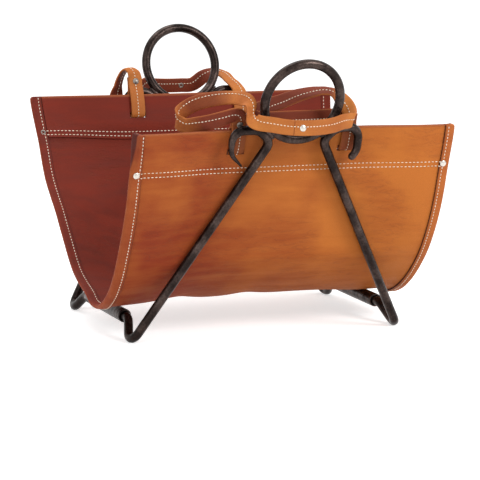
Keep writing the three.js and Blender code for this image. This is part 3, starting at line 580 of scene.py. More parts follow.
def slack_of(across, share, side):
    """How far the leather stands in from its even curve: between the tubes its bottom arches
    up with two bells, each e to the power of minus the square of the way from its middle over
    its width, sine waves run through its lower half, and the ends curl in with the square of
    the way to the end, most at the rim's corners. On the tubes it lies even."""
    middle = 1 - smooth_step(np.abs(across), TUBES_START, TUBES_END)
    bells = [rise * np.exp(-(((across - at) / width) ** 2)) for rise, at, width in ARCH_BELLS]
    arch = (ARCH_RISE + sum(bells)) * middle * (1 - smooth_step(share, *ARCH_SHARES))
    waves = LONG_WAVE_SHARE * np.sin(across / LONG_WAVE + side * SIDE_SHIFT)
    waves = waves + SHORT_WAVE_SHARE * np.sin(across / SHORT_WAVE + SHORT_SHIFT)
    low = smooth_step(share, *LOW_START_SHARES) * (1 - smooth_step(share, *LOW_END_SHARES))
    dents = 1 + np.sin(across / DENT_WAVE + share * DENT_SHIFT + side)
    dents = DENT_RISE * dents * low * middle
    to_end = smooth_step(np.abs(across), SLING_HALF - CURL_REACH, SLING_HALF + PAST_END)
    curl = END_CURL * to_end**2
    curl = curl * (CURL_LEAST + (1 - CURL_LEAST) * smooth_step(share, *CURL_SHARES))
    curl = curl + ROLLED_CURL * rolled_corner(across, share, side) ** 2
    return arch + dents + WAVE_RISE * middle * low * (1 + waves) + curl


def sling_point(across, share, depth, side):
    """A point at a depth inside the outer face, along the normal of the face's own curve.
    Near the rim the ends draw in, which rounds the corners: the radius less the root of its
    square less the square of the way into the corner. The corners splay outwards, the ends
    droop past the tubes and the left end has slumped. Side is -1 in front and 1 behind."""
    across, share = np.broadcast_arrays(across, share)
    out, height = sling_face(across, share)
    out_ahead, height_ahead = sling_face(across, np.minimum(share + OUTLINE_STEP, 1))
    out_behind, height_behind = sling_face(across, np.maximum(share - OUTLINE_STEP, 0))
    along = unit(np.stack([out_ahead - out_behind, height_ahead - height_behind], axis=-1))
    deep = depth + slack_of(across, share, side)
    y = side * (out - along[..., 1] * deep)
    into = np.clip(height - RIM_HEIGHT + CORNER_RADIUS, 0, CORNER_RADIUS)
    pull = CORNER_RADIUS - np.sqrt(CORNER_RADIUS**2 - into**2)
    past = np.clip(np.abs(across) - BINDING_INSIDE, 0, None) / (SLING_HALF - BINDING_INSIDE)
    splay = SPLAY - SPLAY * np.sign(across) * side
    splay = splay * smooth_step(height, *SPLAY_HEIGHTS)
    splay = splay * smooth_step(np.abs(across), *SPLAY_ACROSS)
    pulled_in = past * pull + ROLLED_IN * rolled_corner(across, share, side)
    pulled_across = across + np.sign(across) * (splay - pulled_in)
    droop = (DROOP + DROOP_TO_RIGHT * np.sign(across)) * smooth_step(np.abs(across), *DROOP_ACROSS)
    droop = droop * (1 - smooth_step(share, *DROOP_SHARES))
    rear = (np.asarray(side)[..., None] + 1.0) / 2
    slump = through_table(FRONT_SLUMP, share) * (1 - rear) + through_table(REAR_SLUMP, share) * rear
    slump = slump * smooth_step(-across, SLUMP_START, SLUMP_END)[..., None]
    y = y + slump[..., 0]
    z = height + along[..., 0] * deep - droop + slump[..., 1]
    return np.stack(np.broadcast_arrays(pulled_across, y, z), axis=-1)


def share_at(height):
    """The share of the outline at a height, read off the outline worked out finely."""
    shares = np.linspace(0, 1, OUTLINE_POINTS)
    return np.interp(height, end_outline(shares)[1], shares)


def slab_faces(kept):
    """Quads of a sheet with two faces. A cell counts where kept is true, and a wall stands
    wherever a kept cell meets a missing one or the sheet's edge. The outer face's points come
    first, then the inner ones."""
    rows, columns = kept.shape[0] + 1, kept.shape[1] + 1
    number = np.arange(rows * columns).reshape(rows, columns)
    deep = rows * columns
    cells = grid_faces(rows, columns)[kept.ravel()]
    padded = np.pad(kept, 1)
    walls = []
    level_left, level_right = number[:, :-1], number[:, 1:]
    above, below = padded[:-1, 1:-1], padded[1:, 1:-1]
    upright_top, upright_bottom = number[:-1], number[1:]
    before, after = padded[1:-1, :-1], padded[1:-1, 1:]
    for chosen, start, end in (
        (below & ~above, level_right, level_left),
        (above & ~below, level_left, level_right),
        (after & ~before, upright_top, upright_bottom),
        (before & ~after, upright_bottom, upright_top),
    ):
        a, b = start[chosen], end[chosen]
        walls.append(np.stack([a, b, b + deep, a + deep], axis=-1))
    return np.vstack([cells, cells[:, ::-1] + deep, *walls])


def with_lines(spread, *lines):
    """An even spread of values with some lines put in, and close neighbours of those lines
    left out."""
    lines = np.array(lines, float)
    gap = np.diff(spread).mean() * NEIGHBOUR_SHARE
    clear = np.min(np.abs(spread[:, None] - lines[None, :]), axis=1) > gap
    clear[[0, -1]] = True
    return np.unique(np.concatenate([spread[clear], lines]))


slot_half = STRAP_WIDTH / 2 + STRAP_EASE
slot_sides = [hand * (SLOT_ACROSS + edge) for hand in (-1, 1) for edge in (-slot_half, slot_half)]
slot_shares = share_at(np.array([SLOT_BOTTOM, SLOT_TOP]))


def slotted(across, shares):
    """Which cells are leather: all but those inside the slots."""
    middle_across = np.abs((across[1:] + across[:-1]) / 2)
    middle_share = np.abs((shares[1:] + shares[:-1]) / 2)
    in_across = np.abs(middle_across - SLOT_ACROSS) < slot_half
    in_share = (middle_share > slot_shares[0]) & (middle_share < slot_shares[1])
    return ~(in_share[:, None] & in_across[None, :])


def rim_inset(shares):
    """How much a layer's two faces draw together near the rim, so that the edge is round:
    the radius less the root of its square less the square of the way into the round."""
    height = sling_face(np.zeros_like(shares), np.abs(shares))[1]
    into = np.clip(height - (RIM_HEIGHT - RIM_ROUND), 0, RIM_ROUND)
    return RIM_ROUND - np.sqrt(np.maximum(RIM_ROUND**2 - into**2, 0))


def layer_grid(across, shares, depth, thickness):
    """Both faces of a layer of leather on the sling, from a depth inwards."""
    inset = rim_inset(shares)[:, None]
    side = np.where(shares < 0, -1.0, 1.0)[:, None]
    wide, tall = across[None, :], np.abs(shares)[:, None]
    outer = sling_point(wide, tall, depth + inset, side)
    inner = sling_point(wide, tall, depth + thickness - inset, side)
    return np.stack([outer, inner])


rim_lines = share_at(RIM_HEIGHT - RIM_ROUND * RIM_ROW_SHARES)
panel_shares = with_lines(np.linspace(-1, 1, PANEL_ROWS), *slot_shares, *-slot_shares)
panel_shares = np.unique(np.concatenate([panel_shares, rim_lines, -rim_lines]))
panel_across = with_lines(np.linspace(-PANEL_HALF, PANEL_HALF, PANEL_COLUMNS), *slot_sides)

# Hide as it shows on every leather piece: clouds and long mottles of colour over each piece's
# depth of colour, which on the sling is painted shade, fine pores, creases where a stretched
# noise crosses its middle, with painted shade in their lines, and rubbed edges.
ALONG_GRAIN_SHARE = 0.16
LEATHER_RELIEF = 0.4
CREASE_SHADE_COLOUR = (0.13, 0.035, 0.015, 1)
hide, hide_in, hide_out = new_group(
    "hide",
    [("Position", VECTOR, None), ("Tan", COLOUR, (0.5, 0.2, 0.06, 1)),
     ("Deep tan", COLOUR, (0.3, 0.1, 0.03, 1)), ("Flesh", COLOUR, (0.2, 0.05, 0.03, 1)),
     ("Flesh side", VALUE, 0.0), ("Edge", VALUE, 0.0), ("Depth of colour", VALUE, 0.3),
     ("Edge colour", COLOUR, (0.4, 0.2, 0.08, 1)), ("Creases", VALUE, 0.5)],
    [("Color", COLOUR), ("Roughness", VALUE), ("Height", VALUE)],
)
grain_way = {"Vector": hide_in["Position"], "Scale": (ALONG_GRAIN_SHARE, 1, 1)}
clouds = noise(hide, hide_in["Position"], 11.0, detail=3.0, roughness=0.5)
grain = noise(hide, hide_in["Position"], 1300.0, detail=2.0, roughness=0.6)
stretched = add_node(hide, "ShaderNodeMapping", grain_way).outputs[0]
mottles = noise(hide, stretched, 60.0, detail=4.0, roughness=0.6)
wrinkles = noise(hide, stretched, 130.0, detail=3.0, roughness=0.55, distortion=0.7)
pores = add_node(hide, "ShaderNodeTexVoronoi", {"Vector": hide_in["Position"], "Scale": 1500.0})
off_middle = calculate(hide, "SUBTRACT", wrinkles, 0.5)
off_middle = calculate(hide, "ABSOLUTE", off_middle, 0.0)
crease_lines = ramp(hide, off_middle, 0.0, 0.03, 1.0, 0.0)
creased_places = ramp(hide, clouds, 0.4, 0.62)
crease_lines = calculate(hide, "MULTIPLY", crease_lines, creased_places)
crease_lines = calculate(hide, "MULTIPLY", crease_lines, hide_in["Creases"])
cloud_depth = ramp(hide, clouds, 0.3, 0.7, -0.2, 0.2)
mottle_depth = ramp(hide, mottles, 0.3, 0.7, -0.11, 0.11)
cloudy = calculate(hide, "ADD", hide_in["Depth of colour"], cloud_depth)
cloudy = calculate(hide, "ADD", cloudy, mottle_depth, clamp=True)
tan_side = mix_colours(hide, cloudy, hide_in["Tan"], hide_in["Deep tan"])
fleshy = ramp(hide, mottles, 0.3, 0.7, 0.86, 1.12)
flesh_colour = mix_colours(hide, 1.0, hide_in["Flesh"], fleshy, "MULTIPLY")
hide_colour = mix_colours(hide, hide_in["Flesh side"], tan_side, flesh_colour)
hide_colour = mix_colours(hide, hide_in["Edge"], hide_colour, hide_in["Edge colour"])
grainy = ramp(hide, grain, 0.3, 0.7, 0.93, 1.06)
hide_colour = mix_colours(hide, 1.0, hide_colour, grainy, "MULTIPLY")
# Painted shade in the crease lines, over their sunken relief.
crease_shade = calculate(hide, "MULTIPLY", crease_lines, 0.5)
hide_colour = mix_colours(hide, crease_shade, hide_colour, CREASE_SHADE_COLOUR)
hide_rough = ramp(hide, mottles, 0.3, 0.75, 0.58, 0.7)
hide_height = calculate(hide, "MULTIPLY", grain, 0.3)
pored = calculate(hide, "MULTIPLY", pores.outputs["Distance"], 0.22)
hide_height = calculate(hide, "ADD", hide_height, pored)
sunk = calculate(hide, "MULTIPLY", crease_lines, 0.8)
hide_height = calculate(hide, "SUBTRACT", hide_height, sunk)
hide.links.new(hide_colour, hide_out["Color"])
hide.links.new(hide_rough, hide_out["Roughness"])
hide.links.new(hide_height, hide_out["Height"])

LEATHER_MARKS = (("flesh", "Flesh side"), ("edge", "Edge"), ("deep", "Depth of colour"))
# Painted shade on the sling's leather: deeper colour towards the left end and the bottom.
SHADE_HEIGHTS = (30.0, 260.0)
SHADE_ACROSS = (-235.0, 180.0)
DEEP_EVERYWHERE, SHADE_TO_LEFT, LEFT_TOP_SHARE = 0.06, 0.9, 0.75


def leather(name, creases, tan, deep_tan, flesh, edge):
    """A leather with its own colours. It reads the piece's marks for the flesh side, the cut
    edges and the depth of its colour. On the straps the flesh mark also carries painted shade
    and painted light, on the bindings the flesh and edge marks carry painted shade, and on the
    sling's pieces the depth of colour is painted shade."""
    values = {"Creases": creases, "Tan": (*tan, 1), "Deep tan": (*deep_tan, 1),
              "Flesh": (*flesh, 1), "Edge colour": (*edge, 1)}
    material, shader = skinned_material(name, hide, LEATHER_RELIEF, values, LEATHER_MARKS)
    shader.inputs["Specular IOR Level"].default_value = 0.16
    return material


def painted_shade_to_lower_left(points):
    """Painted shade on the tan: a little everywhere, much more towards the left end, and
    there most at the bottom, where the leather is turned from the lamps."""
    low = 1 - smooth_step(points[..., 2], *SHADE_HEIGHTS)
    left = 1 - smooth_step(points[..., 0], *SHADE_ACROSS)
    left = left * (LEFT_TOP_SHARE + (1 - LEFT_TOP_SHARE) * low)
    return np.clip(DEEP_EVERYWHERE + SHADE_TO_LEFT * left, 0, 1)


def layer_piece(name, across, shares, depth, thickness):
    """A layer of leather on the sling with its slots. Its marks are flesh on the inner face,
    a cut edge along the rim and the depth of its colour, which is painted shade."""
    grid = layer_grid(across, shares, depth, thickness)
    flesh = np.zeros(grid.shape[:3])
    flesh[1] = 1
    rim_start, rim_end = RIM_EDGE
    edge = smooth_step(grid[..., 2], RIM_HEIGHT - rim_start, RIM_HEIGHT - rim_end)
    marks = {"flesh": flesh, "edge": edge, "deep": painted_shade_to_lower_left(grid)}
    return make_piece(name, grid.reshape(-1, 3), slab_faces(slotted(across, shares)), marks)


saddle_leather = leather(
    "saddle_leather", 0.45, tan=(0.505, 0.149, 0.0245), deep_tan=(0.24, 0.035, 0.01),
    flesh=(0.15, 0.017, 0.0075), edge=(0.33, 0.09, 0.026),
)
panel = layer_piece("tan_panel", panel_across, panel_shares, 0.0, PANEL_LEATHER)
settle(panel, "sling", "tan_leather", saddle_leather, "sling_panel")


# Rim facings
# A strip of the same leather is sewn inside each rim, flesh side in, so that the straps'
# slots don't tear. Its lower edge follows the double row of stitches.
FACING_LEATHER = 2.4
FACING_HALF = 218.7
FACING_BOTTOM = 235.0
FACING_ROWS = 30
FACING_COLUMNS = 107
facing_depth = PANEL_LEATHER + FIT_GAP
facing_leather = leather(
    "facing_leather", 0.4, tan=(0.2, 0.036, 0.02), deep_tan=(0.15, 0.027, 0.016),
    flesh=(0.165, 0.0175, 0.0075), edge=(0.27, 0.07, 0.026),
)
for facing_name, side in (("front_rim_facing", -1), ("rear_rim_facing", 1)):
    facing_shares = np.linspace(share_at(FACING_BOTTOM), 1, FACING_ROWS)
    facing_shares = np.concatenate([with_lines(facing_shares, *slot_shares), rim_lines])
    facing_shares = side * np.unique(facing_shares)
    facing_across = np.linspace(-FACING_HALF, FACING_HALF, FACING_COLUMNS)
    facing_across = with_lines(facing_across, *slot_sides)
    facing = layer_piece(
        "sewn_" + facing_name, facing_across, facing_shares, facing_depth, FACING_LEATHER
    )
    settle(facing, "sling", "dark_leather", facing_leather, facing_name)


# Edge bindings
# A thinner strip is folded round each open end, from the front rim along the bottom to the
# rear rim, and one row of stitches goes through all three layers.
BINDING_LEATHER = 1.8
FOLD_STEPS = 10
# The strip's cut edge is rounded: how far in from the edge, and how far below the face.
CUT_EDGE_IN = np.array([0.0, 0.12, 0.5])
CUT_EDGE_DROP = np.array([0.75, 0.3, 0.05])
FLAT_STEPS = 5
FLAT_SHARE = 0.9
BINDING_ROWS = 181
CUT_EDGE_MARK = (0.1, 0.9)
INNER_FLESH_FROM, INNER_FLESH_TO = PANEL_LEATHER / 2, PANEL_LEATHER + 1.5
# At the front left the rolled corner's outer face, from here outwards and from nearer in
# towards the rim, carries painted shade in the flesh colour, darkened with the edge colour.
ROLLED_SHADE_FROM = 16.5
ROLLED_SHADE_NEARER = 5.0
ROLLED_SHADE_SHARES = (0.885, 0.975)
ROLLED_SHADE_BLUR = 0.7
ROLLED_SHADE_EDGE_SHARE = 0.7
binding_out = FIT_GAP + BINDING_LEATHER
fold_radius = (PANEL_LEATHER + 2 * binding_out) / 2


def binding_section():
    """The strip's section as (distance from its cut edge, depth): along the outer face,
    round the fold as half a circle, back along the inner face, then the same inside."""
    fold_at = SLING_HALF - BINDING_INSIDE - fold_radius
    swing = np.linspace(-np.pi / 2, np.pi / 2, FOLD_STEPS)
    half_circle = np.stack([np.cos(swing), np.sin(swing)], axis=-1)
    fold_middle = [fold_at, PANEL_LEATHER / 2]
    outer_fold = fold_middle + fold_radius * half_circle
    inner_fold = fold_middle + (PANEL_LEATHER / 2 + FIT_GAP) * half_circle
    flat = np.concatenate([CUT_EDGE_IN, np.linspace(0, fold_at * FLAT_SHARE, FLAT_STEPS)[1:]])
    drop = np.concatenate([CUT_EDGE_DROP, np.zeros(FLAT_STEPS - 1)])
    top = np.stack([flat, -binding_out + drop], axis=-1)
    bottom = np.stack([flat, PANEL_LEATHER + binding_out - drop], axis=-1)
    inside_top = np.stack([flat, np.full_like(flat, -FIT_GAP)], axis=-1)
    inside_bottom = np.stack([flat, np.full_like(flat, PANEL_LEATHER + FIT_GAP)], axis=-1)
    outside = np.vstack([top, outer_fold, bottom[::-1]])
    inside = np.vstack([inside_top, inner_fold, inside_bottom[::-1]])
    return np.vstack([outside, inside[::-1]])


# The edge colour, nearly black, serves the cut edges and the painted shade on the rolled corner.
binding_leather = leather(
    "binding_leather", 0.3, tan=(0.45, 0.125, 0.026), deep_tan=(0.24, 0.04, 0.013),
    flesh=(0.155, 0.019, 0.009), edge=(0.05, 0.009, 0.006),
)
section = binding_section()
from_edge, section_depth = section[None, :, 0], section[None, :, 1]
binding_shares = [np.linspace(-1, 1, BINDING_ROWS), rim_lines[:2], -rim_lines[:2]]
binding_shares = np.unique(np.concatenate(binding_shares))
binding_side = np.where(binding_shares < 0, -1.0, 1.0)[:, None]
tall = np.abs(binding_shares)[:, None]
for binding_name, hand in (("left_edge_binding", -1), ("right_edge_binding", 1)):
    across = hand * (BINDING_INSIDE + from_edge)
    binding_grid = sling_point(across, tall, section_depth, binding_side)
    folded_in = smooth_step(section_depth, INNER_FLESH_FROM, INNER_FLESH_TO)
    # Painted shade on the rolled front left corner, in the flesh colour and darkened with the edge
    # colour.
    rolled_shade_from = ROLLED_SHADE_FROM - ROLLED_SHADE_NEARER * smooth_step(tall, *ROLLED_SHADE_SHARES)
    turned = smooth_step(from_edge, rolled_shade_from - ROLLED_SHADE_BLUR, rolled_shade_from + ROLLED_SHADE_BLUR)
    turned = turned * (binding_side < 0) * (hand < 0)
    cut_edge = 1 - smooth_step(from_edge, *CUT_EDGE_MARK)
    marks = {
        "flesh": np.maximum(folded_in, turned),
        "edge": np.maximum(cut_edge, ROLLED_SHADE_EDGE_SHARE * turned),
        "deep": painted_shade_to_lower_left(binding_grid),
    }
    binding_faces = capped_faces(len(binding_shares), len(section))
    binding = make_piece(
        "folded_" + binding_name, binding_grid.reshape(-1, 3), binding_faces, marks
    )
    settle(binding, "sling", "tan_leather", binding_leather, binding_name)


# Stitches of the sling
# Waxed cream thread is pulled tight, so each stitch lies in a small dimple between its two
# holes. Two rows hold each facing and one row each binding, and both faces show them.
THREAD_RADIUS = 0.62
HEM_PITCH = 5.6
END_PITCH = 4.8
STITCH_SHARE = 0.66
STITCH_ROWS = 6
STITCH_SIDES = 6
STITCH_RISE, STITCH_DIP = 0.75, 0.35
STITCH_TIP = 0.06
THREAD_RELIEF = 0.2


def stitches(name, line, outward, pitch):
    """A row of stitches along a line on a surface. A stitch is a thread whose middle stands
    proud and whose ends dip: the lift falls with the square of the way to an end, and the
    radius is the root of one less that way to the fourth."""
    length = path_length(line)
    count = int(length / pitch)
    middles = (np.arange(count) + 0.5) * length / count
    half = pitch * STITCH_SHARE / 2
    centre = along_path(line, middles)
    heading = unit(along_path(line, middles + half) - along_path(line, middles - half))
    normal = along_path(line, middles, outward)
    normal = unit(normal - heading * np.sum(normal * heading, axis=1, keepdims=True))
    beside = np.cross(heading, normal)
    way = np.linspace(-1, 1, STITCH_ROWS)[None, :, None, None]
    angle = np.linspace(0, 2 * np.pi, STITCH_SIDES, endpoint=False)[None, None, :, None]
    radius = THREAD_RADIUS * np.sqrt(np.maximum(1 - way**4, STITCH_TIP))
    lift = THREAD_RADIUS * (STITCH_RISE * (1 - way**2) - STITCH_DIP)
    place = centre[:, None, None] + heading[:, None, None] * way * half
    up = normal[:, None, None] * (lift + radius * np.sin(angle))
    grid = place + up + beside[:, None, None] * radius * np.cos(angle)
    one = capped_faces(STITCH_ROWS, STITCH_SIDES)
    each = STITCH_ROWS * STITCH_SIDES
    faces = (one[None] + np.arange(count)[:, None, None] * each).reshape(-1, 4)
    row = make_piece(name, grid.reshape(-1, 3), faces, sharp=np.pi)
    settle(row, "sling", "tan_leather", thread)


twist, twist_in, twist_out = new_group(
    "twisted_thread",
    [("Position", VECTOR, None), ("Thread colour", COLOUR, (0.8, 0.7, 0.55, 1)),
     ("Soiled colour", COLOUR, (0.5, 0.35, 0.2, 1))],
    [("Color", COLOUR), ("Height", VALUE)],
)
soiling = ramp(twist, noise(twist, twist_in["Position"], 120.0), 0.42, 0.75)
thread_colour = mix_colours(twist, soiling, twist_in["Thread colour"], twist_in["Soiled colour"])
fibres = noise(twist, twist_in["Position"], 2500.0, detail=1.0)
twist.links.new(thread_colour, twist_out["Color"])
twist.links.new(fibres, twist_out["Height"])
thread, thread_shader = skinned_material("waxed_thread", twist, THREAD_RELIEF, {
    "Thread colour": (0.86, 0.76, 0.62, 1),
    "Soiled colour": (0.62, 0.44, 0.28, 1),
})
thread_shader.inputs["Roughness"].default_value = 0.65

HEM_HEIGHTS = (245.2, 239.2)
HEM_PAST_BINDING = 2.5
HEM_STEP_BEFORE, HEM_STEP_PAST = 1.0, 0.5
STITCH_FROM_END = 11.5
ROLLED_SHIFT = 3.0
END_SHARE = 0.995
LINE_STEPS = 400
hem_half = BINDING_INSIDE + HEM_PAST_BINDING
hem_across = np.linspace(-hem_half, hem_half, LINE_STEPS)
step_from, step_to = BINDING_INSIDE - HEM_STEP_BEFORE, BINDING_INSIDE + HEM_STEP_PAST
over_binding = smooth_step(np.abs(hem_across), step_from, step_to)
facing_face = facing_depth + FACING_LEATHER
inner_face = facing_face + over_binding * (PANEL_LEATHER + binding_out - facing_face)
for side, place in ((-1.0, "front"), (1.0, "rear")):
    for row, height in zip(("upper", "lower"), HEM_HEIGHTS):
        share = np.full_like(hem_across, share_at(height))
        outer = sling_point(hem_across, share, -binding_out * over_binding, side)
        inner = sling_point(hem_across, share, inner_face, side)
        stitches(f"{place}_{row}_hem_stitches", outer, unit(outer - inner), HEM_PITCH)
        stitches(f"{place}_{row}_hem_stitches_inside", inner, unit(inner - outer), HEM_PITCH)
end_shares = np.linspace(-END_SHARE, END_SHARE, LINE_STEPS)
end_side = np.where(end_shares < 0, -1.0, 1.0)
for hand, place in ((-1, "left"), (1, "right")):
    across = np.full_like(end_shares, hand * (SLING_HALF - STITCH_FROM_END))
    across = across + ROLLED_SHIFT * smooth_step(-end_shares, *ROLLED_SHARES) * (hand < 0)
    outer = sling_point(across, np.abs(end_shares), -binding_out, end_side)
    inner = sling_point(across, np.abs(end_shares), PANEL_LEATHER + binding_out, end_side)
    stitches(f"{place}_end_stitches", outer, unit(outer - inner), END_PITCH)
    stitches(f"{place}_end_stitches_inside", inner, unit(inner - outer), END_PITCH)


# Handle straps
# Each strap is a strip of saddle leather folded double and sewn near its open edge. Its ends
# go through the slots, lap on themselves and are riveted. Way points give the strap's middle
# and the direction of its width, from one tail to the other.
FRONT_WAY = np.array([
    [-81, -192.09, 314.42, 1, 0, 0], [-81, -188.84, 303.08, 1, 0, 0],
    [-81, -184.44, 299.16, 1, 0, 0], [-81, -177.1, 273.56, 1, 0, 0],
    [-81, -177.59, 269.26, 1, 0, 0], [-81, -180.97, 266.57, 1, 0, 0],
    [-81, -185.27, 267.06, 1, 0, 0], [-81, -187.96, 270.44, 1, 0, 0],
    [-81, -195.3, 296.04, 1, 0, 0], [-81, -193.65, 301.7, 1, 0, 0],
    [-81, -195, 308, 1, -0.03, 0.1], [-81.5, -197, 314, 0.93, -0.12, 0.35],
    [-85, -198.5, 318.4, 0.65, -0.22, 0.73], [-92, -199, 319.2, 0.25, -0.28, 0.93],
    [-104.56, -197.8, 315.6, 0, -0.25, 0.97], [-119.48, -190.98, 310.4, 0, -0.2, 0.98],
    [-135.02, -181.08, 306, 0, -0.2, 0.98], [-148.34, -168.93, 303, 0, -0.15, 0.99],
    [-155, -160.38, 308, 0, 0, 1], [-151, -152.73, 316, 0, 0, 1],
    [-132.8, -154.98, 328.9, 0.2, 0.1, 0.97], [-112.08, -166, 336.5, 0.3, 0.3, 0.91],
    [-92.1, -180.18, 340.4, 0.35, 0.5, 0.79], [-80.26, -190.98, 340.6, 0.4, 0.5, 0.77],
    [-75, -203.13, 339, 0.45, 0.5, 0.74], [-73.4, -211.68, 332.88, 0.6, 0.6, 0.5],
    [-74.6, -217.2, 322.6, 0.7, 0.7, 0.1], [-72.4, -220.5, 315.2, 0.5, 0.3, 0.81],
    [-64.5, -225.3, 311.6, 0.1, 0, 1],
    [-50.82, -234.37, 310.15, 0, 0, 1], [-31.77, -240.7, 307.17, 0, 0, 1],
    [-10.93, -243.61, 305.8, 0, 0, 1], [12.36, -243.5, 305.85, 0, 0, 1],
    [35.34, -239.85, 307.57, 0, 0, 1], [53.35, -233.06, 310.77, 0, 0, 1],
    [64, -225.6, 310.6, 0, 0, 1], [73.5, -219.2, 311.4, 0.25, -0.1, 0.96],
    [76.4, -207, 317.5, 0.6, -0.3, 0.74], [75, -198, 327, 0.75, -0.2, 0.63],
    [68.8, -190.5, 336, 0.6, 0.3, 0.74], [62.2, -187.5, 342, 0.35, 0.7, 0.62],
    [54.5, -185.5, 345.6, 0.2, 0.9, 0.39],
    [41.97, -182.38, 346.4, 0, 0.93, 0.37], [13.08, -180.22, 341.5, 0, 0.75, 0.66],
    [-17.98, -183.1, 332.68, 0, 0.51, 0.86], [-33.79, -184.78, 328.84, 0, 0.37, 0.93],
    [-47.41, -185.02, 324.04, 0, 0.2, 0.98], [-57.22, -186.94, 320.2, 0, 0.05, 1],
    [-61.04, -190.78, 316.6, 0, 0, 1], [-56.13, -194.14, 313.48, 0, 0, 1],
    [-46.32, -194.14, 312.04, 0, 0, 1], [0, -193.18, 311.8, 0, 0, 1],
    [39.78, -191.74, 311.8, 0, 0, 1], [66, -191.89, 313.71, 0, -0.28, 0.96],
    [71.52, -191.6, 312.7, 0.37, -0.26, 0.89], [76.27, -190.77, 309.8, 0.68, -0.2, 0.7],
    [79.57, -189.51, 305.43, 0.9, -0.12, 0.41], [81, -184.73, 300.16, 1, 0, 0],
    [81, -177.1, 273.56, 1, 0, 0], [81, -177.59, 269.26, 1, 0, 0],
    [81, -180.97, 266.57, 1, 0, 0], [81, -185.27, 267.06, 1, 0, 0],
    [81, -187.96, 270.44, 1, 0, 0], [81, -195.3, 296.04, 1, 0, 0],
    [81, -194.51, 304.7, 1, 0, 0], [81, -197.76, 316.04, 1, 0, 0],
])
REAR_WAY = np.array([
    [-81, 199.48, 322.04, 1, 0, 0], [-81, 196.23, 310.7, 1, 0, 0],
    [-81, 195.3, 296.04, 1, 0, 0], [-81, 187.96, 270.44, 1, 0, 0],
    [-81, 185.27, 267.06, 1, 0, 0], [-81, 180.97, 266.57, 1, 0, 0],
    [-81, 177.59, 269.26, 1, 0, 0], [-81, 177.1, 273.56, 1, 0, 0],
    [-81, 184.44, 299.16, 1, 0, 0], [-81, 191.42, 312.08, 1, 0, 0],
    [-81, 194.07, 321.3, 1, 0, 0], [-82.92, 197.1, 329.64, 0.97, 0.24, 0],
    [-87, 203.58, 333.72, 0.87, 0.5, 0], [-91.56, 208.86, 331.08, 0.75, 0.66, 0],
    [-95.88, 212.7, 322.2, 0.75, 0.66, 0], [-99.72, 214.62, 308.04, 0.8, 0.6, 0],
    [-100.92, 217.5, 292.92, 1, 0, 0], [-98.76, 217.5, 285, 0.87, 0, 0.5],
    [-93, 217.98, 279, 0.5, 0, 0.87], [-85.08, 218.46, 277.08, 0, 0, 1],
    [-76.92, 219.9, 280.2, 0, 0, 1], [-69, 222.78, 289.8, 0, 0, 1],
    [-61.8, 227.58, 298.92, 0, 0, 1], [-55.8, 231.9, 302.28, 0, 0, 1],
    [-48.08, 235.62, 306.44, 0, 0, 1], [-31.77, 240.7, 304.05, 0, 0, 1],
    [-10.32, 243.65, 302.66, 0, 0, 1], [10.93, 243.61, 302.68, 0, 0, 1],
    [28.08, 241.45, 303.69, 0, 0, 1], [46.44, 240.78, 315.24, 0.22, 0.39, 0.89],
    [58.92, 238.14, 320.52, 0.52, 0.58, 0.63], [70.92, 229.5, 320.52, 0.84, 0.5, 0.2],
    [73.08, 215.1, 316.92, 0.91, 0.4, 0.1], [75, 207.42, 313.08, 0.91, 0.4, 0.1],
    [77.4, 199.98, 309.72, 0.95, 0.3, 0.1], [79.8, 190.62, 304.68, 0.99, 0.15, 0],
    [81, 184.44, 299.16, 1, 0, 0], [81, 182.15, 291.17, 1, 0, 0],
    [81, 179.5, 281.94, 1, 0, 0], [81, 177.1, 273.56, 1, 0, 0],
    [81, 177.59, 269.26, 1, 0, 0], [81, 180.97, 266.57, 1, 0, 0],
    [81, 185.27, 267.06, 1, 0, 0], [81, 187.96, 270.44, 1, 0, 0],
    [81, 193.62, 290.17, 1, 0, 0],
])
SPAN_STEPS = 9
STRAP_CROWN = 0.125
STRAP_FIRMNESS = 3.2
FACE_POWER = 0.8
FOLD_GROOVE, FOLD_GROOVE_WIDTH = 0.02, 0.1
STRAP_SIDES = 36
STRAP_PITCH = 4.6
SEWN_WIDTH = 21.0
EDGE_SHARES = (0.84, 0.95)
EDGE_WORN = 0.8
FACE_BLUR = 0.3
STRAP_DEPTH_OF_COLOUR = 0.3
# The front grip has a seam across it: the way point whose span it crosses, its place across
# and up, and the rows that draw its groove.
SEAM_SPAN = 30
SEAM_AT = (-23.0, 305.8)
SEAM_STEPS = np.array([-1.2, -0.45, -0.15, 0.15, 0.45, 1.2])
SEAM_CLEAR = 1.5
SEAM_DEPTH = 0.9
SEAM_NARROWING = 0.06
SEAM_BLUR = (0.15, 0.45)
# By way point: how dark each face is, partly where the flesh shows and partly painted shade
# where the strap lies in shadow, with tan painted light where the lamp reaches into the front
# strap's turn, and how far the stitches run from the strap's middle.
STRAP_LOOKS = {
    "front": {
        "face": ([0, 10, 13, 18.8, 19.8, 21.3, 22.6, 39, 41, 47, 52, 63],
                 [0.75, 0.75, 0.3, 0, 0.85, 0.8, 0.05, 0.05, 1, 1, 1, 0.6]),
        "back": ([0, 10, 12, 15.6, 16.8, 19.3, 20.3, 35.5, 36.5, 39, 41, 55, 59, 64],
                 [0.75, 0.75, 1, 1, 0.25, 0.25, 1, 1, 0.12, 0.12, 1, 1, 0.8, 0.8]),
        "row": ([0, 12, 16, 20, 23, 27, 29, 35, 37, 40, 43, 53, 64],
                [1, 1, 3, 5, 5, 3, 1.8, 1.8, 0, -1, -2, -2, 1]),
    },
    "rear": {
        "face": ([0, 12, 13, 29.8, 31, 36, 40, 44], [0.6, 0.8, 1, 1, 0.15, 0.15, 0.4, 0.4]),
        "back": ([0, 12, 13, 44], [0.25, 0.25, 0.3, 0.3]),
        "row": ([0, 12, 20, 24, 44], [-0.8, -0.5, 2, 2.5, 3]),
    },
}


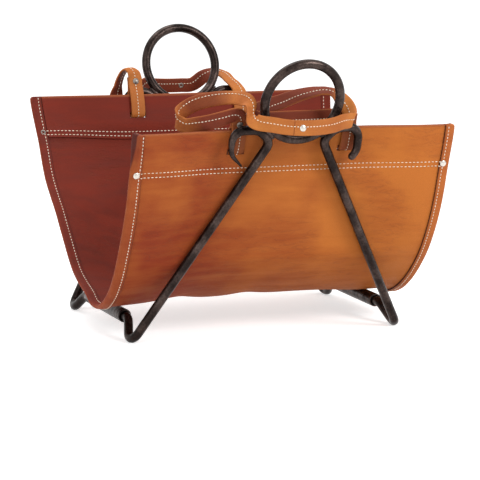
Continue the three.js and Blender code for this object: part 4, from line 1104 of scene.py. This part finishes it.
def through_points(points, places):
    """A smooth line through points: each span is a cubic whose end slopes weigh the three
    chords about it by the root of their lengths. Gives the points and headings at places
    counted in way points."""
    first, last = 2 * points[0] - points[1], 2 * points[-1] - points[-2]
    line = np.vstack([first, points, last])
    knot = np.sqrt(np.linalg.norm(np.diff(line, axis=0), axis=1))[:, None]
    p0, p1, p2, p3 = line[:-3], line[1:-2], line[2:-1], line[3:]
    d0, d1, d2 = knot[:-2], knot[1:-1], knot[2:]
    slope = ((p1 - p0) / d0 - (p2 - p0) / (d0 + d1) + (p2 - p1) / d1) * d1
    next_slope = ((p2 - p1) / d1 - (p3 - p1) / (d1 + d2) + (p3 - p2) / d2) * d1
    span = np.minimum(places.astype(int), len(points) - 2)
    t = (places - span)[:, None]
    a, b, m, n = p1[span], p2[span], slope[span], next_slope[span]
    curve = (2 * t**3 - 3 * t**2 + 1) * a + (t**3 - 2 * t**2 + t) * m
    curve = curve + (3 * t**2 - 2 * t**3) * b + (t**3 - t**2) * n
    heading = (6 * t**2 - 6 * t) * (a - b) + (3 * t**2 - 4 * t + 1) * m + (3 * t**2 - 2 * t) * n
    return curve, unit(heading)


def strap_lines(way, places):
    """A strap's middle line with the directions of its width and of its face, which is
    heading times width."""
    middle, heading = through_points(way[:, :3], places)
    order = np.arange(len(way))
    width = np.stack([np.interp(places, order, way[:, k]) for k in (3, 4, 5)], axis=-1)
    width = unit(width - heading * np.sum(width * heading, axis=1, keepdims=True))
    return middle, width, np.cross(heading, width)


def strap_section(sides):
    """A flat strap's section: a ring whose cosine and sine are raised to a small power, which
    squares it up, with crowned faces and a groove where the fold's two layers meet."""
    angle = np.linspace(0, 2 * np.pi, sides, endpoint=False)
    cosine, sine = np.cos(angle), np.sin(angle)
    across = np.sign(cosine) * np.abs(cosine) ** (1 / STRAP_FIRMNESS)
    fold = FOLD_GROOVE * np.exp(-((sine / FOLD_GROOVE_WIDTH) ** 2))
    across = across * (1 - fold * (cosine > 0))
    out = np.sign(sine) * np.abs(sine) ** FACE_POWER
    crown = 1 - STRAP_CROWN * np.abs(across) ** 3
    return across * SEWN_WIDTH / 2, out * crown * STRAP_THICKNESS / 2


def with_seam(way, places):
    """Places along the strap with rows put in at the seam, and how deep each row lies in its
    groove: one at the seam, falling to zero with the distance from it."""
    middle = strap_lines(way, places)[0]
    from_seam = np.hypot(middle[:, 0] - SEAM_AT[0], middle[:, 2] - SEAM_AT[1])
    seam_place = places[np.argmin(from_seam)]
    run_per_place = np.linalg.norm(way[SEAM_SPAN, :3] - way[SEAM_SPAN + 1, :3])
    seam_places = seam_place + SEAM_STEPS / run_per_place
    clear = np.abs(places - seam_place) > SEAM_CLEAR * SEAM_STEPS[-1] / run_per_place
    places = np.sort(np.concatenate([places[clear], seam_places]))
    return places, 1 - smooth_step(np.abs(places - seam_place) * run_per_place, *SEAM_BLUR)


strap_leather = leather(
    "strap_leather", 0.3, tan=(0.55, 0.19, 0.04), deep_tan=(0.3, 0.066, 0.018),
    flesh=(0.165, 0.03, 0.013), edge=(0.42, 0.13, 0.03),
)
section_across, section_out = strap_section(STRAP_SIDES)
for strap_place, way in (("front", FRONT_WAY), ("rear", REAR_WAY)):
    strap_name = strap_place + "_handle_strap"
    looks = STRAP_LOOKS[strap_place]
    places = np.linspace(0, len(way) - 1, (len(way) - 1) * SPAN_STEPS + 1)
    groove = np.zeros_like(places)
    if strap_place == "front":
        places, groove = with_seam(way, places)
    middle, width, face = strap_lines(way, places)
    drawn_in = 1 - groove[:, None, None] * SEAM_DEPTH / STRAP_THICKNESS
    narrowed = 1 - SEAM_NARROWING + SEAM_NARROWING * drawn_in
    strap_grid = (
        middle[:, None]
        + width[:, None] * section_across[None, :, None] * narrowed
        + face[:, None] * section_out[None, :, None] * drawn_in
    )
    facing_out = section_out[None, :] / (STRAP_THICKNESS / 2)
    # Flesh where it shows, painted shade where the strap lies in shadow, painted light at the front
    # turn.
    face_flesh_and_shade = np.interp(places, *looks["face"])[:, None]
    back_flesh_and_shade = np.interp(places, *looks["back"])[:, None]
    back_share = smooth_step(-facing_out, -FACE_BLUR, FACE_BLUR)
    flesh_and_shade_mark = face_flesh_and_shade + (back_flesh_and_shade - face_flesh_and_shade) * back_share
    flesh_and_shade_mark = np.maximum(flesh_and_shade_mark, groove[:, None])
    at_edge = smooth_step(np.abs(section_across) / (SEWN_WIDTH / 2), *EDGE_SHARES)
    on_edge = at_edge * (1 - np.abs(facing_out[0])) * EDGE_WORN
    marks = {
        "flesh": flesh_and_shade_mark,
        "edge": np.broadcast_to(on_edge, flesh_and_shade_mark.shape),
        "deep": np.full(flesh_and_shade_mark.shape, STRAP_DEPTH_OF_COLOUR),
    }
    strap_faces = capped_faces(len(places), STRAP_SIDES)
    strap = make_piece("sewn_" + strap_name, strap_grid.reshape(-1, 3), strap_faces, marks)
    settle(strap, "sling", "tan_leather", strap_leather, strap_name)
    row_out = np.interp(places, *looks["row"])[:, None]
    for proud, label in ((STRAP_THICKNESS / 2, "face"), (-STRAP_THICKNESS / 2, "back")):
        line = middle + width * row_out + face * proud
        stitches(f"{strap_name}_{label}_stitches", line, face * np.sign(proud), STRAP_PITCH)


# Rivets
# Nickel plated tubular rivets hold the laps, the grips and the hem's corners. The outer end
# is a low dome, the inner end is rolled over and hollow.
HEAD_RADIUS = 4.5
HEAD_RISE = 2.0
HEAD_RIM = 0.5
DOME_STEPS = 9
ROLL_RADIUS = 3.9
ROLL_RISE = 1.0
ROLL_STEPS = 9
SHANK_RADIUS = 1.8
HOLE_RADIUS = 1.35
HOLE_DEPTH = 1.4
RIVET_EASE = 0.05
RIVET_SIDES = 40
AXIS_GAP = 0.001
HOLE_SHARE = 0.9
HEAD_SHARE = 0.97
EDGE_RISE = 0.35
# A rivet's middle, the way its dome faces and the leather that it goes through.
RIVETS = {
    "front_left_handle_rivet": ([-81, -192.56, 307], [0, -0.9613, -0.2756], 9.2),
    "front_right_handle_rivet": ([81, -193.43, 310], [0, 0.9613, 0.2756], 9.2),
    "rear_left_handle_rivet": ([-81, 195.15, 316], [0, -0.9613, 0.2756], 9.2),
    "rear_right_handle_rivet": ([81, 186.26, 285], [0, -0.9613, 0.2756], 15.5),
    "front_grip_rivet": ([-10.93, -243.61, 305.8], [-0.068, -0.9977, 0], 4.2),
    "rear_grip_rivet": ([10.93, 243.61, 302.68], [0.0667, 0.9978, 0], 4.2),
}
DULL_RIVETS = (
    "front_left_handle_rivet", "rear_left_handle_rivet", "rear_grip_rivet", "rear_left_hem_rivet",
)
DULL_SHARE = 0.8
PLATING_RELIEF = 0.05

# The hem's rivets go through the bindings and the panel, square to the leather that they hold.
HEM_RIVET_HEIGHT = 243.0
HEM_RIVETS = {
    "front_left_hem_rivet": (-226.8, -1.0),
    "front_right_hem_rivet": (223.8, -1.0),
    "rear_left_hem_rivet": (-225.5, 1.0),
    "rear_right_hem_rivet": (225.5, 1.0),
}
for hem_rivet_name, (across, side) in HEM_RIVETS.items():
    share = share_at(HEM_RIVET_HEIGHT)
    outer = sling_point(across, share, -binding_out, side)
    inner = sling_point(across, share, PANEL_LEATHER + binding_out, side)
    RIVETS[hem_rivet_name] = ((outer + inner) / 2, outer - inner, np.linalg.norm(outer - inner))


def rivet_outline(leather_between):
    """A rivet's outline from the middle of its hollow end to the top of its dome. The dome is
    an arc whose height falls with the square of the radius, and the roll is half a ring."""
    grip = leather_between / 2 + RIVET_EASE
    roll = np.linspace(0, np.pi, ROLL_STEPS)
    roll_half = (ROLL_RADIUS - HOLE_RADIUS) / 2
    rolled_out = HOLE_RADIUS + roll_half - roll_half * np.cos(roll)
    rolled = np.stack([rolled_out, -grip - ROLL_RISE * np.sin(roll)], axis=-1)
    floor_height = HOLE_DEPTH - grip
    hollow = np.array([[AXIS_GAP, floor_height], [HOLE_RADIUS * HOLE_SHARE, floor_height]])
    shank = np.array([[SHANK_RADIUS, -grip], [SHANK_RADIUS, grip]])
    rim = np.array([[HEAD_RADIUS * HEAD_SHARE, grip], [HEAD_RADIUS, grip + EDGE_RISE]])
    out = np.linspace(HEAD_SHARE, 0.0, DOME_STEPS)
    dome_height = grip + HEAD_RIM + (HEAD_RISE - HEAD_RIM) * (1 - out**2)
    dome = np.stack([HEAD_RADIUS * out + AXIS_GAP, dome_height], axis=-1)
    return np.vstack([hollow, rolled, shank, rim, dome])


plating, plating_in, plating_out = new_group(
    "worn_plating",
    [("Position", VECTOR, None), ("Bright", COLOUR, (0.8, 0.78, 0.74, 1)),
     ("Dull", COLOUR, (0.5, 0.47, 0.43, 1)), ("Worn", VALUE, 0.0)],
    [("Color", COLOUR), ("Roughness", VALUE), ("Height", VALUE)],
)
tarnish = ramp(plating, noise(plating, plating_in["Position"], 700.0), 0.4, 0.75, 0.0, 0.5)
tarnish = calculate(plating, "ADD", tarnish, plating_in["Worn"], clamp=True)
plate_colour = mix_colours(plating, tarnish, plating_in["Bright"], plating_in["Dull"])
plating.links.new(plate_colour, plating_out["Color"])
plating.links.new(ramp(plating, tarnish, 0.0, 1.0, 0.3, 0.46), plating_out["Roughness"])
plating.links.new(noise(plating, plating_in["Position"], 1500.0), plating_out["Height"])
nickel_colours = {"Bright": (0.6, 0.56, 0.505, 1), "Dull": (0.2, 0.17, 0.15, 1)}
nickel, nickel_shader = skinned_material(
    "nickel_plate", plating, PLATING_RELIEF, nickel_colours, [("worn", "Worn")]
)
nickel_shader.inputs["Metallic"].default_value = 1.0

for rivet_name, (place, axis, leather_between) in RIVETS.items():
    outline = rivet_outline(leather_between)
    rivet_grid = lathe_grid(outline, RIVET_SIDES)
    axis = unit(np.array(axis, float))
    side = unit(np.cross(axis, [1.0, 0, 0]))
    rows = np.stack([side, np.cross(axis, side), axis])
    rivet_points = rivet_grid.reshape(-1, 3) @ rows + place
    rivet_faces = capped_faces(len(outline), RIVET_SIDES)
    worn = np.full(len(rivet_points), DULL_SHARE if rivet_name in DULL_RIVETS else 0.0)
    rivet = make_piece("plated_" + rivet_name, rivet_points, rivet_faces, {"worn": worn})
    settle(rivet, "sling", "rivet_metal", nickel, rivet_name)


# Studio
# A plain pale floor that runs out of sight, an even white surround, and large soft lamps: the
# strongest at the right of the front, a weaker one at the left, and one above.
FLOOR_HALF = 12.0
FLOOR_GLOW = 0.6
SURROUND_LIGHT = 0.6


def seen_directly(tree):
    """One where the camera, a glossy surface or glass looks at a surface, otherwise zero."""
    path = add_node(tree, "ShaderNodeLightPath").outputs
    seen = calculate(tree, "ADD", path["Is Camera Ray"], path["Is Glossy Ray"])
    return calculate(tree, "ADD", seen, path["Is Transmission Ray"], clamp=True)


floor_mesh = bpy.data.meshes.new("floor")
floor_mesh.from_pydata(
    [(x * FLOOR_HALF, y * FLOOR_HALF, 0) for x, y in ((-1, -1), (1, -1), (1, 1), (-1, 1))],
    [], [(0, 1, 2, 3)],
)
floor = bpy.data.objects.new("floor", floor_mesh)
bpy.context.scene.collection.objects.link(floor)
floor_material, floor_tree, floor_shader = new_material("pale_floor")
floor_shader.inputs["Base Color"].default_value = (0.82, 0.82, 0.82, 1)
floor_shader.inputs["Roughness"].default_value = 0.9
floor_shader.inputs["Specular IOR Level"].default_value = 0.1
floor_shader.inputs["Emission Color"].default_value = (1, 1, 1, 1)
seen_light = calculate(floor_tree, "MULTIPLY", seen_directly(floor_tree), FLOOR_GLOW)
floor_tree.links.new(seen_light, floor_shader.inputs["Emission Strength"])
floor_mesh.materials.append(floor_material)

world = bpy.data.worlds.new("surround")
bpy.context.scene.world = world
world.use_nodes = True
world_tree = world.node_tree
background = world_tree.nodes["Background"]
background.inputs["Color"].default_value = (1, 1, 1, 1)
surround = ramp(world_tree, seen_directly(world_tree), 0.0, 1.0, SURROUND_LIGHT, 1.0)
world_tree.links.new(surround, background.inputs["Strength"])


def soft_lamp(name, place, aim, size, power):
    """A square lamp that looks at a point."""
    data = bpy.data.lights.new(name, "AREA")
    data.size = size
    data.energy = power
    lamp = bpy.data.objects.new(name, data)
    bpy.context.scene.collection.objects.link(lamp)
    back = unit(np.array(place) - np.array(aim))
    right = unit(np.cross([0.0, 0.0, 1.0], back))
    turn = Matrix(np.column_stack([right, np.cross(back, right), back]).tolist()).to_4x4()
    lamp.matrix_world = Matrix.Translation(place) @ turn


soft_lamp("key_lamp", (1.5, -2.1, 1.9), (0.0, 0.0, 0.15), 1.1, 47.0)
soft_lamp("fill_lamp", (-2.2, -1.6, 1.2), (0.0, 0.0, 0.15), 1.6, 16.0)
soft_lamp("top_lamp", (-0.3, 0.6, 2.4), (0.0, 0.0, 0.1), 1.6, 34.0)

bpy.context.scene.view_settings.view_transform = "Standard"
